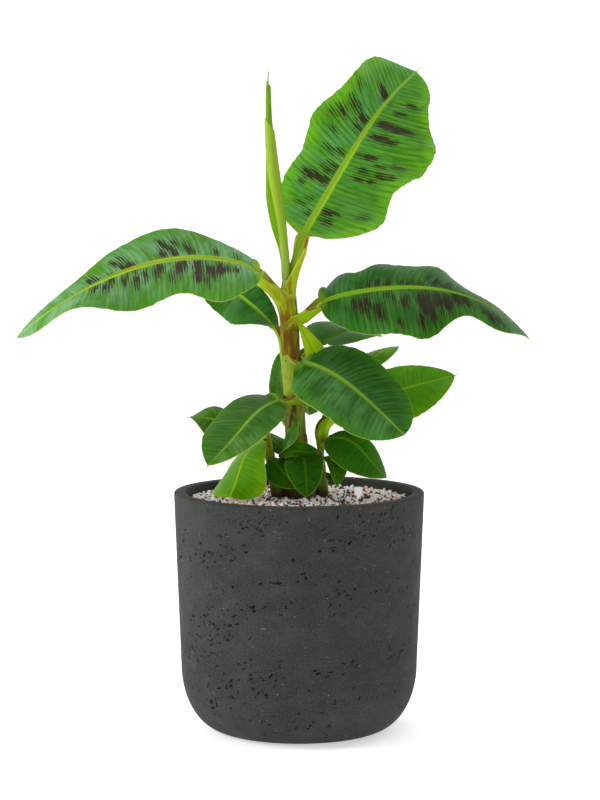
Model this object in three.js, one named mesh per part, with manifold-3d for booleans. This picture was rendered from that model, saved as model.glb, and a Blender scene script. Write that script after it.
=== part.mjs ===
// Potted banana plant, real size in millimetres, Z up, standing on Z = 0.
// X is to the right, Y is away from the front. The pot's underside is centred on the origin.
import * as THREE from 'three';
import Module from 'manifold-3d';

const wasm = await Module();
wasm.setup();
const { Manifold, Mesh } = wasm;

// ---------- clearances ----------
const GAP = 0.3;              // air left between pieces that stand or grow on one another

// ---------- pot ----------
const POT_HEIGHT = 325;
const POT_RIM_RADIUS = 170;
const POT_WALL_RADIUS = 161;  // outside, where the wall meets the rounded foot
const POT_FOOT_WIDE = 56;     // how far the rounded foot draws in
const POT_FOOT_HIGH = 88;     // how high the rounded foot reaches
const POT_WALL = 16;
const POT_FLOOR = 22;
const POT_EDGE = 3;           // rounding of the rim's edges
const POT_SIDES = 40;

// ---------- grit and label ----------
const GRIT_TOP = 313;
const GRIT_CROWN = 2.5;       // the grit lies a little higher round the stems
const GRIT_FLAT = 7;          // smooth this far round each stem
const GRIT_CREST = 62;        // the crown is level out to here, then falls to the wall
const GRIT_LUMP = 6.2;        // spacing of the lumps that the stones make
const GRIT_DEEP = 3.2;        // how far the hollows between them reach down
const LABEL_AT = [80, -15];
const LABEL_WIDE = 10;
const LABEL_THICK = 1.2;
const LABEL_HIGH = 16;
const LABEL_STAKE = 4;

// ---------- the leaf rule's shared shape ----------
const USUAL = {
  peak: 0.45,                 // where along the blade it is widest
  blunt: 2.2,                 // how full the base half is
  sharp: 2.0,                 // how full the tip half is
  lobe: 0.25,                 // how far the base lobes sweep back
  reach: 0.1,                 // how far the margins lead the midrib
  cup: 0.1,                   // how far the margins hang
  waves: [0, 0, 0],           // ripples along each margin: count, height, start
  fullLeft: [1, 1],           // width kept along the left half
  fullRight: [1, 1],
  stalk: [6, 4],              // half width of the leaf stalk at its foot and at the blade
  midrib: 2.2,                // half width of the midrib where the blade begins
  rows: 9,                    // rings along the blade
  ribs: 2,                    // rings of points between midrib and margin
};
const CURL = 62;              // degrees each side of a leaf stalk rolls up into a channel
const THIN = 0.0108;          // blade thickness as a share of the leaf's whole length

// Sizes of each leaf. "leave" is the heading and rise at the stem, "arrive" those at the
// blade where they differ from the midrib's own, and "neck" is where the blade begins. Headings run from +X towards +Y, rises are above the level, rolls lift
// the left half. "left" and "right" hold the half width, then how far that half folds up.
const LEAVES = {
  crown_leaf: {
    foot: [-8, 3, 588], leave: [25, 82], neck: [6, 18, 673], arrive: [30, 70],
    heading: [30, 40, 50], rise: [56, 50, 28], roll: [45, 50, 45], length: 310,
    left: [82, 10, 0, 5, 25, -10], right: [88, 15, 0, 5, 0, 5],
    fullLeft: [1.05, 1, 0.8, 0.9, 0.8, 1, 1.2], fullRight: [0.95, 1.25, 0.95, 1.15, 1.1, 0.8, 1.1],
    waves: [4.5, 0.07, 0.1], peak: 0.5, sharp: 2.7, lobe: 0.2, reach: 0.15, cup: 0.05,
    stalk: [10, 7], midrib: 4, rows: 14,
  },
  left_arch_leaf: {
    foot: [-25, -2, 556], leave: [190, 80], neck: [-55, -17, 627], arrive: [195, 38],
    heading: [195, 195, 175], rise: [20, -18, -42], roll: [-35, -40, -35], length: 355,
    left: [81, 20, 5, 0, 30, 5], right: [52, 5, 10, 10, 5, 15],
    fullLeft: [1.15, 1.15, 0.75, 0.85, 1.05, 1, 1.15], fullRight: [1.05, 1, 1.25, 1.05, 0.75, 0.85, 0.8],
    waves: [2.5, 0.08, 0.3], peak: 0.4, blunt: 2.4, sharp: 1.2, lobe: 0.3, cup: 0.2,
    stalk: [14, 9], midrib: 4, rows: 14,
  },
  pale_leaf: {
    foot: [-5, -9, 562], leave: [-20, -40], neck: [-1, -13, 556],
    heading: [5, 12, 20], rise: [-60, -64, -64], roll: [75, 75, 75], length: 100,
    left: [18, 0, 5, 5], right: [16, 0, 5, 5], fullLeft: [0.4, 0.8, 1.1, 1], fullRight: [0.4, 0.8, 1.1, 1],
    peak: 0.6, blunt: 1.6, stalk: [3.5, 3],
  },
  right_arch_leaf: {
    foot: [0, 1, 545], leave: [-10, 70], neck: [30, -5, 583], arrive: [-15, 40],
    heading: [-15, -5, 15], rise: [18, -6, -50], roll: [40, 35, 20], length: 305,
    left: [62, 0, 15, 0, -5, -5], right: [71, 5, 0, 5, 10, 25],
    fullLeft: [1, 1, 1.05, 1.1, 0.85, 1.1, 1], fullRight: [1.05, 1.05, 1.1, 1.15, 0.6, 1.15, 1],
    waves: [2.5, 0.08, 0], sharp: 2.2, cup: 0.3,
    stalk: [11, 7], midrib: 3.5, rows: 14,
  },
  front_right_leaf: {
    foot: [-4, -10, 503], leave: [-50, 5], neck: [7, -18, 501],
    heading: [-45, -30, -35], rise: [-6, -34, -38], roll: [40, 30, 30], length: 185,
    left: [66, 0, 0, -5], right: [66, 0, 5, -5], blunt: 2.4, sharp: 2.5,
    stalk: [6, 5], midrib: 3, rows: 10,
  },
  front_left_leaf: {
    foot: [-10, -11, 442], leave: [240, 45], neck: [-27, -37, 452],
    heading: [235, 225, 210], rise: [-2, -38, -38], roll: [-25, -20, -30], length: 155,
    left: [38, -5, 5, 20], right: [55, -5, -10, 15], rows: 10,
  },
  back_left_leaf: {
    foot: [-20, 3, 482], leave: [160, 88], neck: [-33, 21, 545],
    heading: [145, 145, 145], rise: [42, 28, 8], roll: [0, -55, -10], length: 155,
    left: [38, 20, -20, 0], right: [29, 5, 0, 0], stalk: [5, 3.5], rows: 10,
  },
  back_right_leaf: {
    foot: [-2, 9, 505], leave: [40, 50], neck: [30, 34, 524],
    heading: [40, 45, 45], rise: [20, 8, -32], roll: [15, 10, 10], length: 115,
    left: [58, 10, 5, 0], right: [43, 10, 5, 0],
  },
  low_back_leaf: {
    foot: [-6, 11, 476], leave: [70, 20], neck: [2, 29, 476],
    heading: [80, 80, 65], rise: [-6, -50, -62], roll: [0, 5, 0], length: 85,
    left: [21, 5, 10, 5], right: [36, 5, 5, 5], stalk: [4, 3], midrib: 1.6,
  },
  rear_leaf: {
    foot: [-4, 10, 488], leave: [55, 40], neck: [13, 33, 500],
    heading: [52, 52, 50], rise: [10, -5, -30], roll: [10, 10, 10], length: 85,
    left: [26, 10, 5, 5], right: [26, 10, 5, 5], stalk: [3.5, 3], midrib: 1.6,
  },
  left_upright_leaf: {
    foot: [-18, 6, 414], leave: [150, 60], neck: [-32, 19, 445],
    heading: [70, 70, 75], rise: [72, 72, 72], roll: [10, -20, 0], length: 70,
    left: [13, 30, 25, 30], right: [33, 25, 45, 30], stalk: [3.5, 3], midrib: 1.6,
  },
  low_left_leaf: {
    foot: [-12, 8, 374], leave: [150, 50], neck: [-18, 13, 376],
    heading: [155, 150, 145], rise: [52, 24, 2], roll: [-25, -5, -15], length: 55,
    left: [22, 0, 5, 5], right: [20, 5, 5, 5], stalk: [2.5, 2.5], midrib: 1.4, rows: 8,
  },
  low_front_leaf: {
    foot: [7, -12, 358], leave: [-90, 40], neck: [9, -27, 371],
    heading: [-100, -85, -85], rise: [26, -32, -88], roll: [5, 10, 0], length: 95,
    left: [26, 5, 10, 5], right: [27, 5, 5, 5], stalk: [3.5, 3], midrib: 1.6,
  },
  right_sucker_far_leaf: {
    foot: [37, 16, 402], leave: [30, 52], neck: [92, 49, 436],
    heading: [25, 15, 5], rise: [28, 14, 14], roll: [35, 30, 20], length: 135,
    left: [48, 5, 10, 15], right: [55, -15, 0, 5], stalk: [6, 3.5], rows: 10,
  },
  right_sucker_back_leaf: {
    foot: [32, 19, 406], leave: [50, 75], neck: [67, 68, 471],
    heading: [40, 35, 35], rise: [42, 26, 6], roll: [10, 10, 5], length: 100,
    left: [20, 10, 0, 0], right: [26, 10, 0, 5], stalk: [5.5, 3],
  },
  right_sucker_low_leaf: {
    foot: [35, 6, 392], leave: [-60, 50], neck: [40, -7, 396],
    heading: [-25, -30, -25], rise: [18, -40, -42], roll: [25, 20, 15], length: 105,
    left: [25, 10, 5, -5], right: [48, 5, 0, 5], stalk: [4.5, 3.5],
  },
  right_sucker_arch_leaf: {
    foot: [29, 7, 374], leave: [270, 20], neck: [24, -21, 381],
    heading: [205, 200, 190], rise: [-14, 10, -62], roll: [-60, -60, -40], length: 50,
    left: [10, 5, 5, 10], right: [15, 5, 5, 5], stalk: [2.5, 2], midrib: 1.2, rows: 8,
  },
  right_sucker_small_leaf: {
    foot: [31, 7, 364], leave: [-90, 30], neck: [30, -12, 370],
    heading: [-45, -65, -45], rise: [32, -52, -82], roll: [10, 10, -5], length: 60,
    left: [22, 5, 5, 0], right: [7, 5, 5, 5], stalk: [2.5, 2.5], midrib: 1.4, rows: 8,
  },
  right_sucker_foot_leaf: {
    foot: [32, 6, 348], leave: [-85, 20], neck: [33, -14, 351],
    heading: [-55, -60, -70], rise: [10, -40, -70], roll: [0, 0, 0], length: 20,
    left: [7, 5, 5, 5], right: [4, 5, 5, 5], stalk: [2, 1.5], midrib: 1, rows: 6,
  },
  left_sucker_far_leaf: {
    foot: [-47, 0, 400], leave: [150, 45], neck: [-77, 21, 409],
    heading: [180, 185, 185], rise: [22, 12, 0], roll: [-5, -25, -5], length: 75,
    left: [46, 10, -5, 10], right: [37, 0, 5, -5], stalk: [3.5, 3],
  },
  left_sucker_pale_leaf: {
    foot: [-46, -9, 396], leave: [220, 10], neck: [-56, -17, 391],
    heading: [220, 230, 240], rise: [-18, -62, -46], roll: [10, 10, -5], length: 90,
    left: [49, 10, 0, -20], right: [56, -5, -15, -15], peak: 0.55, sharp: 2.6, stalk: [3.5, 3],
  },
  left_sucker_low_leaf: {
    foot: [-38, -9, 370], leave: [-75, 0], neck: [-36, -17, 369],
    heading: [-65, -45, -15], rise: [-14, -40, -42], roll: [15, 30, 20], length: 60,
    left: [18, 5, 25, 10], right: [22, 0, -10, -5], stalk: [3, 2.5], midrib: 1.4, rows: 8,
  },
  left_sucker_upright_leaf: {
    foot: [-36, -9, 362], leave: [-30, 30], neck: [-24, -19, 373],
    heading: [-20, 0, 5], rise: [66, 62, 64], roll: [0, 15, 0], length: 60,
    left: [13, 20, 25, 25], right: [18, 25, 0, 20], stalk: [2.5, 2.5], midrib: 1.4, rows: 8,
  },
  left_sucker_rear_leaf: {
    foot: [-42, 1, 384], leave: [100, 30], neck: [-45, 32, 391],
    heading: [112, 120, 128], rise: [8, -5, -30], roll: [-5, -5, -5], length: 90,
    left: [22, 10, 5, 5], right: [24, 10, 5, 5], stalk: [3, 2.5], midrib: 1.6, rows: 8,
  },
};

// Stems: places and half widths at even steps up the stem, from the cut foot to the top.
const STEMS = {
  pseudostem: {
    x: [0, -2, -4.5, -7, -9.5, -12, -14, -15], y: [0, 0, 0, 0, 0, 0, 0, 0],
    radius: [18, 14.5, 13, 12.7, 12.2, 12, 12.2, 9.5], from: GRIT_TOP + GRIT_CROWN + GAP, to: 612,
    rings: 11, sides: 16,
  },
  right_sucker_stem: {
    x: [31, 30.5, 29.5, 31], y: [12, 12, 12, 13],
    radius: [7.5, 6, 5, 10], from: GRIT_TOP + GRIT_CROWN + GAP, to: 408, rings: 8, sides: 12,
  },
  left_sucker_stem: {
    x: [-27, -33, -40, -46], y: [-3, -3, -4, -4],
    radius: [9, 7.5, 7, 5.5], from: GRIT_TOP + GRIT_CROWN + GAP, to: 404, rings: 5, sides: 10,
  },
};

// The newest leaf, still rolled into a spear, with the thread at its tip.
const SPEAR = {
  x: [-17, -20, -28, -33, -36, -39, -41, -40.5, -39.5], y: [0, 0, 0, 0, 0, 0, 0, 0, 0],
  radius: [5.5, 6.5, 9.5, 11, 8.5, 6, 4, 1.6, 0.9], from: 612 + GAP, to: 899, rings: 13, sides: 10,
};

const LEAF_GREEN = '#3f7f2e';
const YOUNG_GREEN = '#86a91f';
const STEM_OLIVE = '#8a8a2c';
const POT_CHARCOAL = '#434443';
const GRIT_PINK = '#b8a59b';
const LABEL_WHITE = '#dfe2e0';
const YOUNG = ['pale_leaf', 'left_sucker_pale_leaf'];

const radians = (degrees) => degrees * Math.PI / 180;
const mix = (a, b, f) => a + (b - a) * f;

// Smooth curve through evenly spaced values.
function along(values, u) {
  const last = values.length - 1;
  const place = Math.min(Math.max(u, 0), 1) * last;
  const i = Math.min(Math.floor(place), last - 1);
  const f = place - i;
  const b = values[i];
  const c = values[i + 1];
  const a = i > 0 ? values[i - 1] : 2 * b - c;
  const d = i + 2 <= last ? values[i + 2] : 2 * c - b;
  return b + 0.5 * f * (c - a + f * (2 * a - 5 * b + 4 * c - d + f * (3 * (b - c) + d - a)));
}

function direction(heading, rise) {
  const h = radians(heading);
  const r = radians(rise);
  return new THREE.Vector3(Math.cos(r) * Math.cos(h), Math.cos(r) * Math.sin(h), Math.sin(r));
}

// Half width of the blade, 0 to 1, from its base to its tip.
function outline(t, leaf) {
  if (t < leaf.peak) {
    return Math.sqrt(Math.max(1 - (1 - t / leaf.peak) ** leaf.blunt, 0));
  }
  return Math.max(1 - ((t - leaf.peak) / (1 - leaf.peak)) ** leaf.sharp, 0) ** 0.75;
}

// Midrib as a string of points from the neck to the tip.
function midribLine(leaf) {
  const steps = 60;
  const points = [new THREE.Vector3(...leaf.neck)];
  for (let k = 0; k < steps; k += 1) {
    const t = (k + 0.5) / steps;
    const step = direction(along(leaf.heading, t), along(leaf.rise, t));
    points.push(points[k].clone().addScaledVector(step, leaf.length / steps));
  }
  return points;
}

function pointOn(points, t) {
  const place = Math.min(Math.max(t, 0), 1) * (points.length - 1);
  const i = Math.min(Math.floor(place), points.length - 2);
  return points[i].clone().lerp(points[i + 1], place - i);
}

// Directions along, across (to the left) and out of the upper face.
function framing(forward, heading, roll) {
  const h = radians(heading);
  const level = new THREE.Vector3(-Math.sin(h), Math.cos(h), 0);
  const up = new THREE.Vector3().crossVectors(forward, level).normalize();
  const side = new THREE.Vector3().crossVectors(up, forward);
  const c = Math.cos(radians(roll));
  const s = Math.sin(radians(roll));
  return {
    across: side.clone().multiplyScalar(c).addScaledVector(up, s),
    out: up.clone().multiplyScalar(c).addScaledVector(side, -s),
  };
}

function stalkCurve(leaf) {
  const foot = new THREE.Vector3(...leaf.foot);
  const neck = new THREE.Vector3(...leaf.neck);
  const pull = foot.distanceTo(neck) / 3;
  const first = foot.clone().addScaledVector(direction(...leaf.leave), pull);
  const arrive = leaf.arrive || [leaf.heading[0], leaf.rise[0]];
  const last = neck.clone().addScaledVector(direction(...arrive), -pull);
  return new THREE.CubicBezierCurve3(foot, first, last, neck);
}

// One ring of the leaf's skin: where it is, how wide each half is, how it folds and curls.
function rings(leaf) {
  const list = [];
  const curve = stalkCurve(leaf);
  const line = midribLine(leaf);
  const stalkLength = curve.getLength();
  const stalkRows = Math.max(1, Math.round(stalkLength / 18));
  for (let j = 0; j < stalkRows; j += 1) {
    const v = j / stalkRows;
    const forward = curve.getTangent(v);
    const wide = mix(leaf.stalk[0], leaf.stalk[1], v);
    list.push({
      at: curve.getPoint(v), forward, rib: 0.5 * wide, wide: [wide, wide], curl: CURL, t: 0, stalk: 1,
      fold: [leaf.right[1] * v, leaf.left[1] * v],
      ...framing(forward, mix(leaf.leave[0], leaf.heading[0], v), leaf.roll[0] * v),
    });
  }
  for (let j = 0; j <= leaf.rows; j += 1) {
    const t = (1 - Math.cos(Math.PI * j / leaf.rows)) / 2;
    const forward = direction(along(leaf.heading, t), along(leaf.rise, t));
    const width = outline(t, leaf);
    const least = mix(leaf.stalk[1], 0.8, Math.min(t * 8, 1));
    const halves = [leaf.right[0] * along(leaf.fullRight, t), leaf.left[0] * along(leaf.fullLeft, t)];
    const near = Math.max(1 - t / 0.035, 0);
    list.push({
      at: pointOn(line, t), forward, rib: mix(leaf.midrib, 0.6, t), curl: CURL * near, t, stalk: near,
      wide: halves.map((half) => Math.max(half * width, least)),
      fold: [along(leaf.right.slice(1), t), along(leaf.left.slice(1), t)],
      ...framing(forward, along(leaf.heading, t), along(leaf.roll, t)),
    });
  }
  return list;
}

// A point of the middle of the blade, a millimetres out from the midrib on one half.
function skinPoint(leaf, ring, half, a, wide) {
  const sign = half === 1 ? 1 : -1;
  const s = a / wide;
  const curl = Math.max(radians(ring.curl), 1e-4);
  const fold = radians(ring.fold[half]) + 0.5 * curl * s;
  const chord = wide * Math.sin(0.5 * curl * s) / (0.5 * curl);
  const [count, high, start] = leaf.waves;
  const ripple = Math.sin(2 * Math.PI * (count * ring.t + start + (half === 1 ? 0 : 0.37)));
  const wave = high * wide * ripple * s ** 1.6 * Math.sqrt(Math.sin(Math.PI * Math.min(ring.t, 1)));
  const hang = (1 - ring.stalk) * leaf.cup * wide * s * s;
  const back = ring.t > 0 ? wide * s * s * (leaf.reach * ring.t - leaf.lobe * (1 - ring.t) ** 6) : 0;
  const point = ring.at.clone();
  point.addScaledVector(ring.across, sign * chord * Math.cos(fold));
  point.addScaledVector(ring.out, chord * Math.sin(fold) - hang + wave);
  point.addScaledVector(ring.forward, back);
  const lean = fold + 0.5 * curl * s;
  const normal = ring.out.clone().multiplyScalar(Math.cos(lean));
  normal.addScaledVector(ring.across, -sign * Math.sin(lean));
  return { point, normal: s === 0 ? ring.out.clone() : normal };
}

// Whole leaf as one closed skin: stalk, midrib and blade. "grow" swells it for trimming others.
function leafBody(leaf, grow) {
  const list = rings(leaf);
  const reach = stalkCurve(leaf).getLength() + leaf.length;
  const sheet = Math.max(reach * THIN, 1.2);
  const count = 2 * (leaf.ribs + 1) + 1;
  const top = [];
  const bottom = [];
  list.forEach((ring, j) => {
    const endShift = j === 0 ? -grow : (j === list.length - 1 ? grow : 0);
    for (let i = 0; i < count; i += 1) {
      const step = i - (leaf.ribs + 1);
      const half = step < 0 ? 0 : 1;
      const wide = ring.wide[half] + grow;
      const rib = Math.min(ring.rib, 0.45 * wide);
      const k = Math.abs(step);
      const a = k === 0 ? 0 : rib + (wide - rib) * (k - 1) / leaf.ribs;
      const { point, normal } = skinPoint(leaf, ring, half, a, wide);
      const body = mix(sheet, Math.max(sheet * 1.2, 2 * ring.rib), Math.max(1 - ring.t, 0));
      const swell = ring.stalk > 0.99 ? Math.sqrt(Math.max(1 - (a / wide) ** 2, 0)) : (k === 0 ? 1 : 0);
      const thick = mix(sheet, Math.max(body, sheet * 1.3), swell);
      point.addScaledVector(ring.forward, endShift);
      top.push(point.clone().addScaledVector(normal, sheet / 2 + grow));
      bottom.push(point.clone().addScaledVector(normal, sheet / 2 - thick - grow));
    }
  });
  return closedSheet(top, bottom, list.length, count);
}

// Two matching grids of points, upper and lower, closed round the edges.
function closedSheet(top, bottom, rows, count) {
  const points = top.concat(bottom);
  const under = top.length;
  const faces = [];
  const quad = (a, b, c, d) => faces.push([a, b, c], [a, c, d]);
  for (let j = 0; j < rows - 1; j += 1) {
    for (let i = 0; i < count - 1; i += 1) {
      const a = j * count + i;
      quad(a, a + count, a + count + 1, a + 1);
      quad(under + a, under + a + 1, under + a + count + 1, under + a + count);
    }
    const r = j * count;
    const l = r + count - 1;
    quad(r, under + r, under + r + count, r + count);
    quad(l, l + count, under + l + count, under + l);
  }
  for (let i = 0; i < count - 1; i += 1) {
    const e = (rows - 1) * count + i;
    quad(under + i, i, i + 1, under + i + 1);
    quad(e, under + e, under + e + 1, e + 1);
  }
  return solid(points, faces);
}

function solid(points, faces) {
  const vertProperties = new Float32Array(points.flatMap((p) => [p.x, p.y, p.z]));
  const triVerts = new Uint32Array(faces.flat());
  return new Manifold(new Mesh({ numProp: 3, vertProperties, triVerts }));
}

// Round stem through its named places, level cuts at both ends.
function stemBody(stem, grow) {
  const points = [];
  const faces = [];
  for (let j = 0; j < stem.rings; j += 1) {
    const u = j / (stem.rings - 1);
    const radius = along(stem.radius, u) + grow;
    const end = j === 0 ? -grow : (j === stem.rings - 1 ? grow : 0);
    for (let i = 0; i < stem.sides; i += 1) {
      const angle = 2 * Math.PI * i / stem.sides;
      const x = along(stem.x, u) + radius * Math.cos(angle);
      const y = along(stem.y, u) + radius * Math.sin(angle);
      points.push(new THREE.Vector3(x, y, mix(stem.from, stem.to, u) + end));
    }
  }
  const last = (stem.rings - 1) * stem.sides;
  for (let i = 0; i < stem.sides; i += 1) {
    const next = (i + 1) % stem.sides;
    for (let j = 0; j < stem.rings - 1; j += 1) {
      const a = j * stem.sides + i;
      const b = j * stem.sides + next;
      faces.push([a, b, b + stem.sides], [a, b + stem.sides, a + stem.sides]);
    }
    if (i > 0 && i < stem.sides - 1) {
      faces.push([0, i + 1, i], [last, last + i, last + i + 1]);
    }
  }
  return solid(points, faces);
}

// Turned piece from a profile of radius and height pairs that starts and ends on the axis.
function turned(profile, sides) {
  const geometry = new THREE.LatheGeometry(profile.map(([r, z]) => new THREE.Vector2(r, z)), sides);
  geometry.rotateX(Math.PI / 2);
  return geometry;
}

function potProfile() {
  const points = [[0, 0]];
  const foot = 6;
  for (let k = 0; k <= foot; k += 1) {
    const a = Math.PI / 2 * k / foot;
    const r = POT_WALL_RADIUS - POT_FOOT_WIDE * (1 - Math.sin(a));
    points.push([r, POT_FOOT_HIGH * (1 - Math.cos(a))]);
  }
  points.push([POT_RIM_RADIUS, POT_HEIGHT - POT_EDGE]);
  points.push([POT_RIM_RADIUS - POT_EDGE * 0.3, POT_HEIGHT - POT_EDGE * 0.3]);
  points.push([POT_RIM_RADIUS - POT_EDGE, POT_HEIGHT]);
  points.push([POT_RIM_RADIUS - POT_WALL + POT_EDGE, POT_HEIGHT]);
  points.push([POT_RIM_RADIUS - POT_WALL, POT_HEIGHT - POT_EDGE]);
  points.push([POT_WALL_RADIUS - POT_WALL, POT_FOOT_HIGH]);
  points.push([POT_WALL_RADIUS - POT_WALL - 30, POT_FLOOR + 10]);
  points.push([POT_WALL_RADIUS - POT_WALL - 50, POT_FLOOR]);
  points.push([0, POT_FLOOR]);
  return points;
}

// Share of the full hollow, 0 to 1, at a crossing of the lump grid: the same on every run.
function hollow(i, j) {
  const value = Math.sin(i * 127.1 + j * 311.7) * 43758.5453;
  return value - Math.floor(value);
}

// The grit's surface: a slab with a lumpy top, level round the stems and under the label.
function gritSurface() {
  const cells = 2 * Math.ceil(POT_RIM_RADIUS / GRIT_LUMP);
  const top = [];
  const bottom = [];
  for (let j = 0; j <= cells; j += 1) {
    for (let i = 0; i <= cells; i += 1) {
      const x = (i - cells / 2 + (j % 2) / 2) * GRIT_LUMP;
      const y = (j - cells / 2) * GRIT_LUMP;
      const far = Math.hypot(x, y);
      const rimmed = Math.min(Math.max((far - GRIT_CREST) / 90, 0), 1.2);
      const byStem = Object.values(STEMS).some((stem) => (
        Math.hypot(x - stem.x[0], y - stem.y[0]) < stem.radius[0] + GRIT_FLAT));
      const byLabel = Math.hypot(x - LABEL_AT[0], y - LABEL_AT[1]) < 1.6 * LABEL_WIDE;
      const deep = byStem || byLabel ? 0 : GRIT_DEEP * hollow(i, j);
      top.push(new THREE.Vector3(x, y, GRIT_TOP + GRIT_CROWN * (1 - rimmed) - deep));
      bottom.push(new THREE.Vector3(x, y, 0));
    }
  }
  const under = top.length;
  const faces = [];
  const row = cells + 1;
  for (let j = 0; j < cells; j += 1) {
    for (let i = 0; i < cells; i += 1) {
      const a = j * row + i;
      const corners = j % 2 ? [[a, a + 1, a + row + 1], [a, a + row + 1, a + row]]
        : [[a, a + 1, a + row], [a + 1, a + row + 1, a + row]];
      for (const [p, q, r] of corners) {
        faces.push([p, q, r], [under + p, under + r, under + q]);
      }
    }
  }
  const wall = (b, a) => faces.push([a, under + a, under + b], [a, under + b, b]);
  for (let k = 0; k < cells; k += 1) {
    wall(k + 1, k);
    wall(cells * row + k, cells * row + k + 1);
    wall(k * row, (k + 1) * row);
    wall((k + 1) * row + cells, k * row + cells);
  }
  return solid(top.concat(bottom), faces);
}

function gritBody() {
  const share = (GRIT_TOP + 6 - POT_FOOT_HIGH) / (POT_HEIGHT - POT_EDGE - POT_FOOT_HIGH);
  const top = mix(POT_WALL_RADIUS, POT_RIM_RADIUS, share) - POT_WALL - GAP - 0.3;
  const low = POT_WALL_RADIUS - POT_WALL - GAP - 0.3;
  const rings = [
    [low - 50, POT_FLOOR + GAP], [low - 30, POT_FLOOR + 10 + GAP], [low, POT_FOOT_HIGH], [top, GRIT_TOP + 6],
  ];
  let body = null;
  for (let k = 0; k + 1 < rings.length; k += 1) {
    const [r0, z0] = rings[k];
    const [r1, z1] = rings[k + 1];
    const slice = Manifold.cylinder(z1 - z0, r0, r1, POT_SIDES).translate([0, 0, z0]);
    body = body ? body.add(slice) : slice;
  }
  return body.rotate([0, 0, 90]).intersect(gritSurface());
}

function labelGeometry() {
  const shape = new THREE.Shape();
  const low = GRIT_TOP + GRIT_CROWN + GAP;
  shape.moveTo(-LABEL_STAKE / 2, low);
  shape.lineTo(LABEL_STAKE / 2, low);
  shape.lineTo(LABEL_STAKE / 2, low + 4);
  shape.lineTo(LABEL_WIDE / 2, low + 6);
  shape.lineTo(LABEL_WIDE / 2, low + LABEL_HIGH);
  shape.lineTo(-LABEL_WIDE / 2, low + LABEL_HIGH);
  shape.lineTo(-LABEL_WIDE / 2, low + 6);
  shape.lineTo(-LABEL_STAKE / 2, low + 4);
  const geometry = new THREE.ExtrudeGeometry(shape, { depth: LABEL_THICK, bevelEnabled: false });
  geometry.rotateX(Math.PI / 2);
  geometry.translate(LABEL_AT[0], LABEL_AT[1] + LABEL_THICK / 2, 0);
  return geometry;
}

function toGeometry(body) {
  const mesh = body.getMesh();
  const geometry = new THREE.BufferGeometry();
  const count = mesh.vertProperties.length / mesh.numProp;
  const positions = new Float32Array(count * 3);
  for (let k = 0; k < count; k += 1) {
    for (let c = 0; c < 3; c += 1) {
      positions[3 * k + c] = mesh.vertProperties[mesh.numProp * k + c];
    }
  }
  geometry.setAttribute('position', new THREE.BufferAttribute(positions, 3));
  geometry.setIndex(new THREE.BufferAttribute(new Uint32Array(mesh.triVerts), 1));
  geometry.computeVertexNormals();
  return geometry;
}

function largestPiece(body) {
  const pieces = body.decompose();
  pieces.sort((a, b) => b.volume() - a.volume());
  return pieces[0];
}

const group = new THREE.Group();
group.name = 'potted_banana_plant';

function add(name, geometry, color, roughness) {
  const material = new THREE.MeshStandardMaterial({ color, roughness, metalness: 0 });
  material.name = name;
  const mesh = new THREE.Mesh(geometry, material);
  mesh.name = name;
  group.add(mesh);
}

add('pot', turned(potProfile(), POT_SIDES), POT_CHARCOAL, 0.85);
add('grit_bed', toGeometry(gritBody()), GRIT_PINK, 0.95);
add('plant_label', labelGeometry(), LABEL_WHITE, 0.5);

// Stems first, then every leaf, each trimmed just clear of what was made before it.
const made = [];
for (const [name, stem] of Object.entries(STEMS)) {
  add(name, toGeometry(stemBody(stem, 0)), STEM_OLIVE, 0.6);
  made.push(stemBody(stem, GAP));
}
add('rolled_spear_leaf', toGeometry(stemBody(SPEAR, 0)), YOUNG_GREEN, 0.5);
made.push(stemBody(SPEAR, GAP));
const bedTop = GRIT_TOP + GRIT_CROWN + GAP;
made.push(Manifold.cylinder(60, 200, 200, 48).translate([0, 0, bedTop - 60]));

for (const [name, sizes] of Object.entries(LEAVES)) {
  const leaf = { ...USUAL, ...sizes };
  let body = leafBody(leaf, 0);
  for (const other of made) {
    body = body.subtract(other);
  }
  body = largestPiece(body);
  add(name, toGeometry(body), YOUNG.includes(name) ? YOUNG_GREEN : LEAF_GREEN, 0.45);
  made.push(leafBody(leaf, GAP));
}

export default group;
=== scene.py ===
# Potted banana plant: the looks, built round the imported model. Metres, Z up, front towards -Y.
import math
import random

import bpy
import numpy as np
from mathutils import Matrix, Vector


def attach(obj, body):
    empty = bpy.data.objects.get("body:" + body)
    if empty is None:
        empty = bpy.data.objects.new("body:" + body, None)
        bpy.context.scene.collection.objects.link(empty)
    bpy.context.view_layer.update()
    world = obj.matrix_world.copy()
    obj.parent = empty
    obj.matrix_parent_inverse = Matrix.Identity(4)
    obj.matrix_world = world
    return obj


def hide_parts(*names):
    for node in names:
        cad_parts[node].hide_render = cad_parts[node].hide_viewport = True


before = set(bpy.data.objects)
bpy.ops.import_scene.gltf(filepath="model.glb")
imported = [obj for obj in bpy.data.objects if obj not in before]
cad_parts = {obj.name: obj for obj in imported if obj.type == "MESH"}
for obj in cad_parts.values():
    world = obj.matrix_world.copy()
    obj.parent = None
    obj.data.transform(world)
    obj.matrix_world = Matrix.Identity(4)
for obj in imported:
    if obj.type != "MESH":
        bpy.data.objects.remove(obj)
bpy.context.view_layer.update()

MM = 0.001
TURN = 2 * math.pi

# ---------- pot, in millimetres ----------
POT_HEIGHT = 325
POT_RIM_RADIUS = 170
POT_WALL_RADIUS = 161         # outside, where the wall meets the rounded foot
POT_FOOT_WIDE = 56            # how far the rounded foot draws in
POT_FOOT_HIGH = 88            # how high the rounded foot reaches
POT_WALL = 16
POT_FLOOR = 22
POT_EDGE = 3                  # rounding of the rim's edges
POT_SIDES = 480
POT_PITS = 1500               # air holes that the cast wall keeps
POT_DRIFTS = 120              # swarms that the air holes lie in
DRIFT_WIDE = 26
DRIFT_HIGH = 8
DRIFT_SLOPE = 0.15

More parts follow.
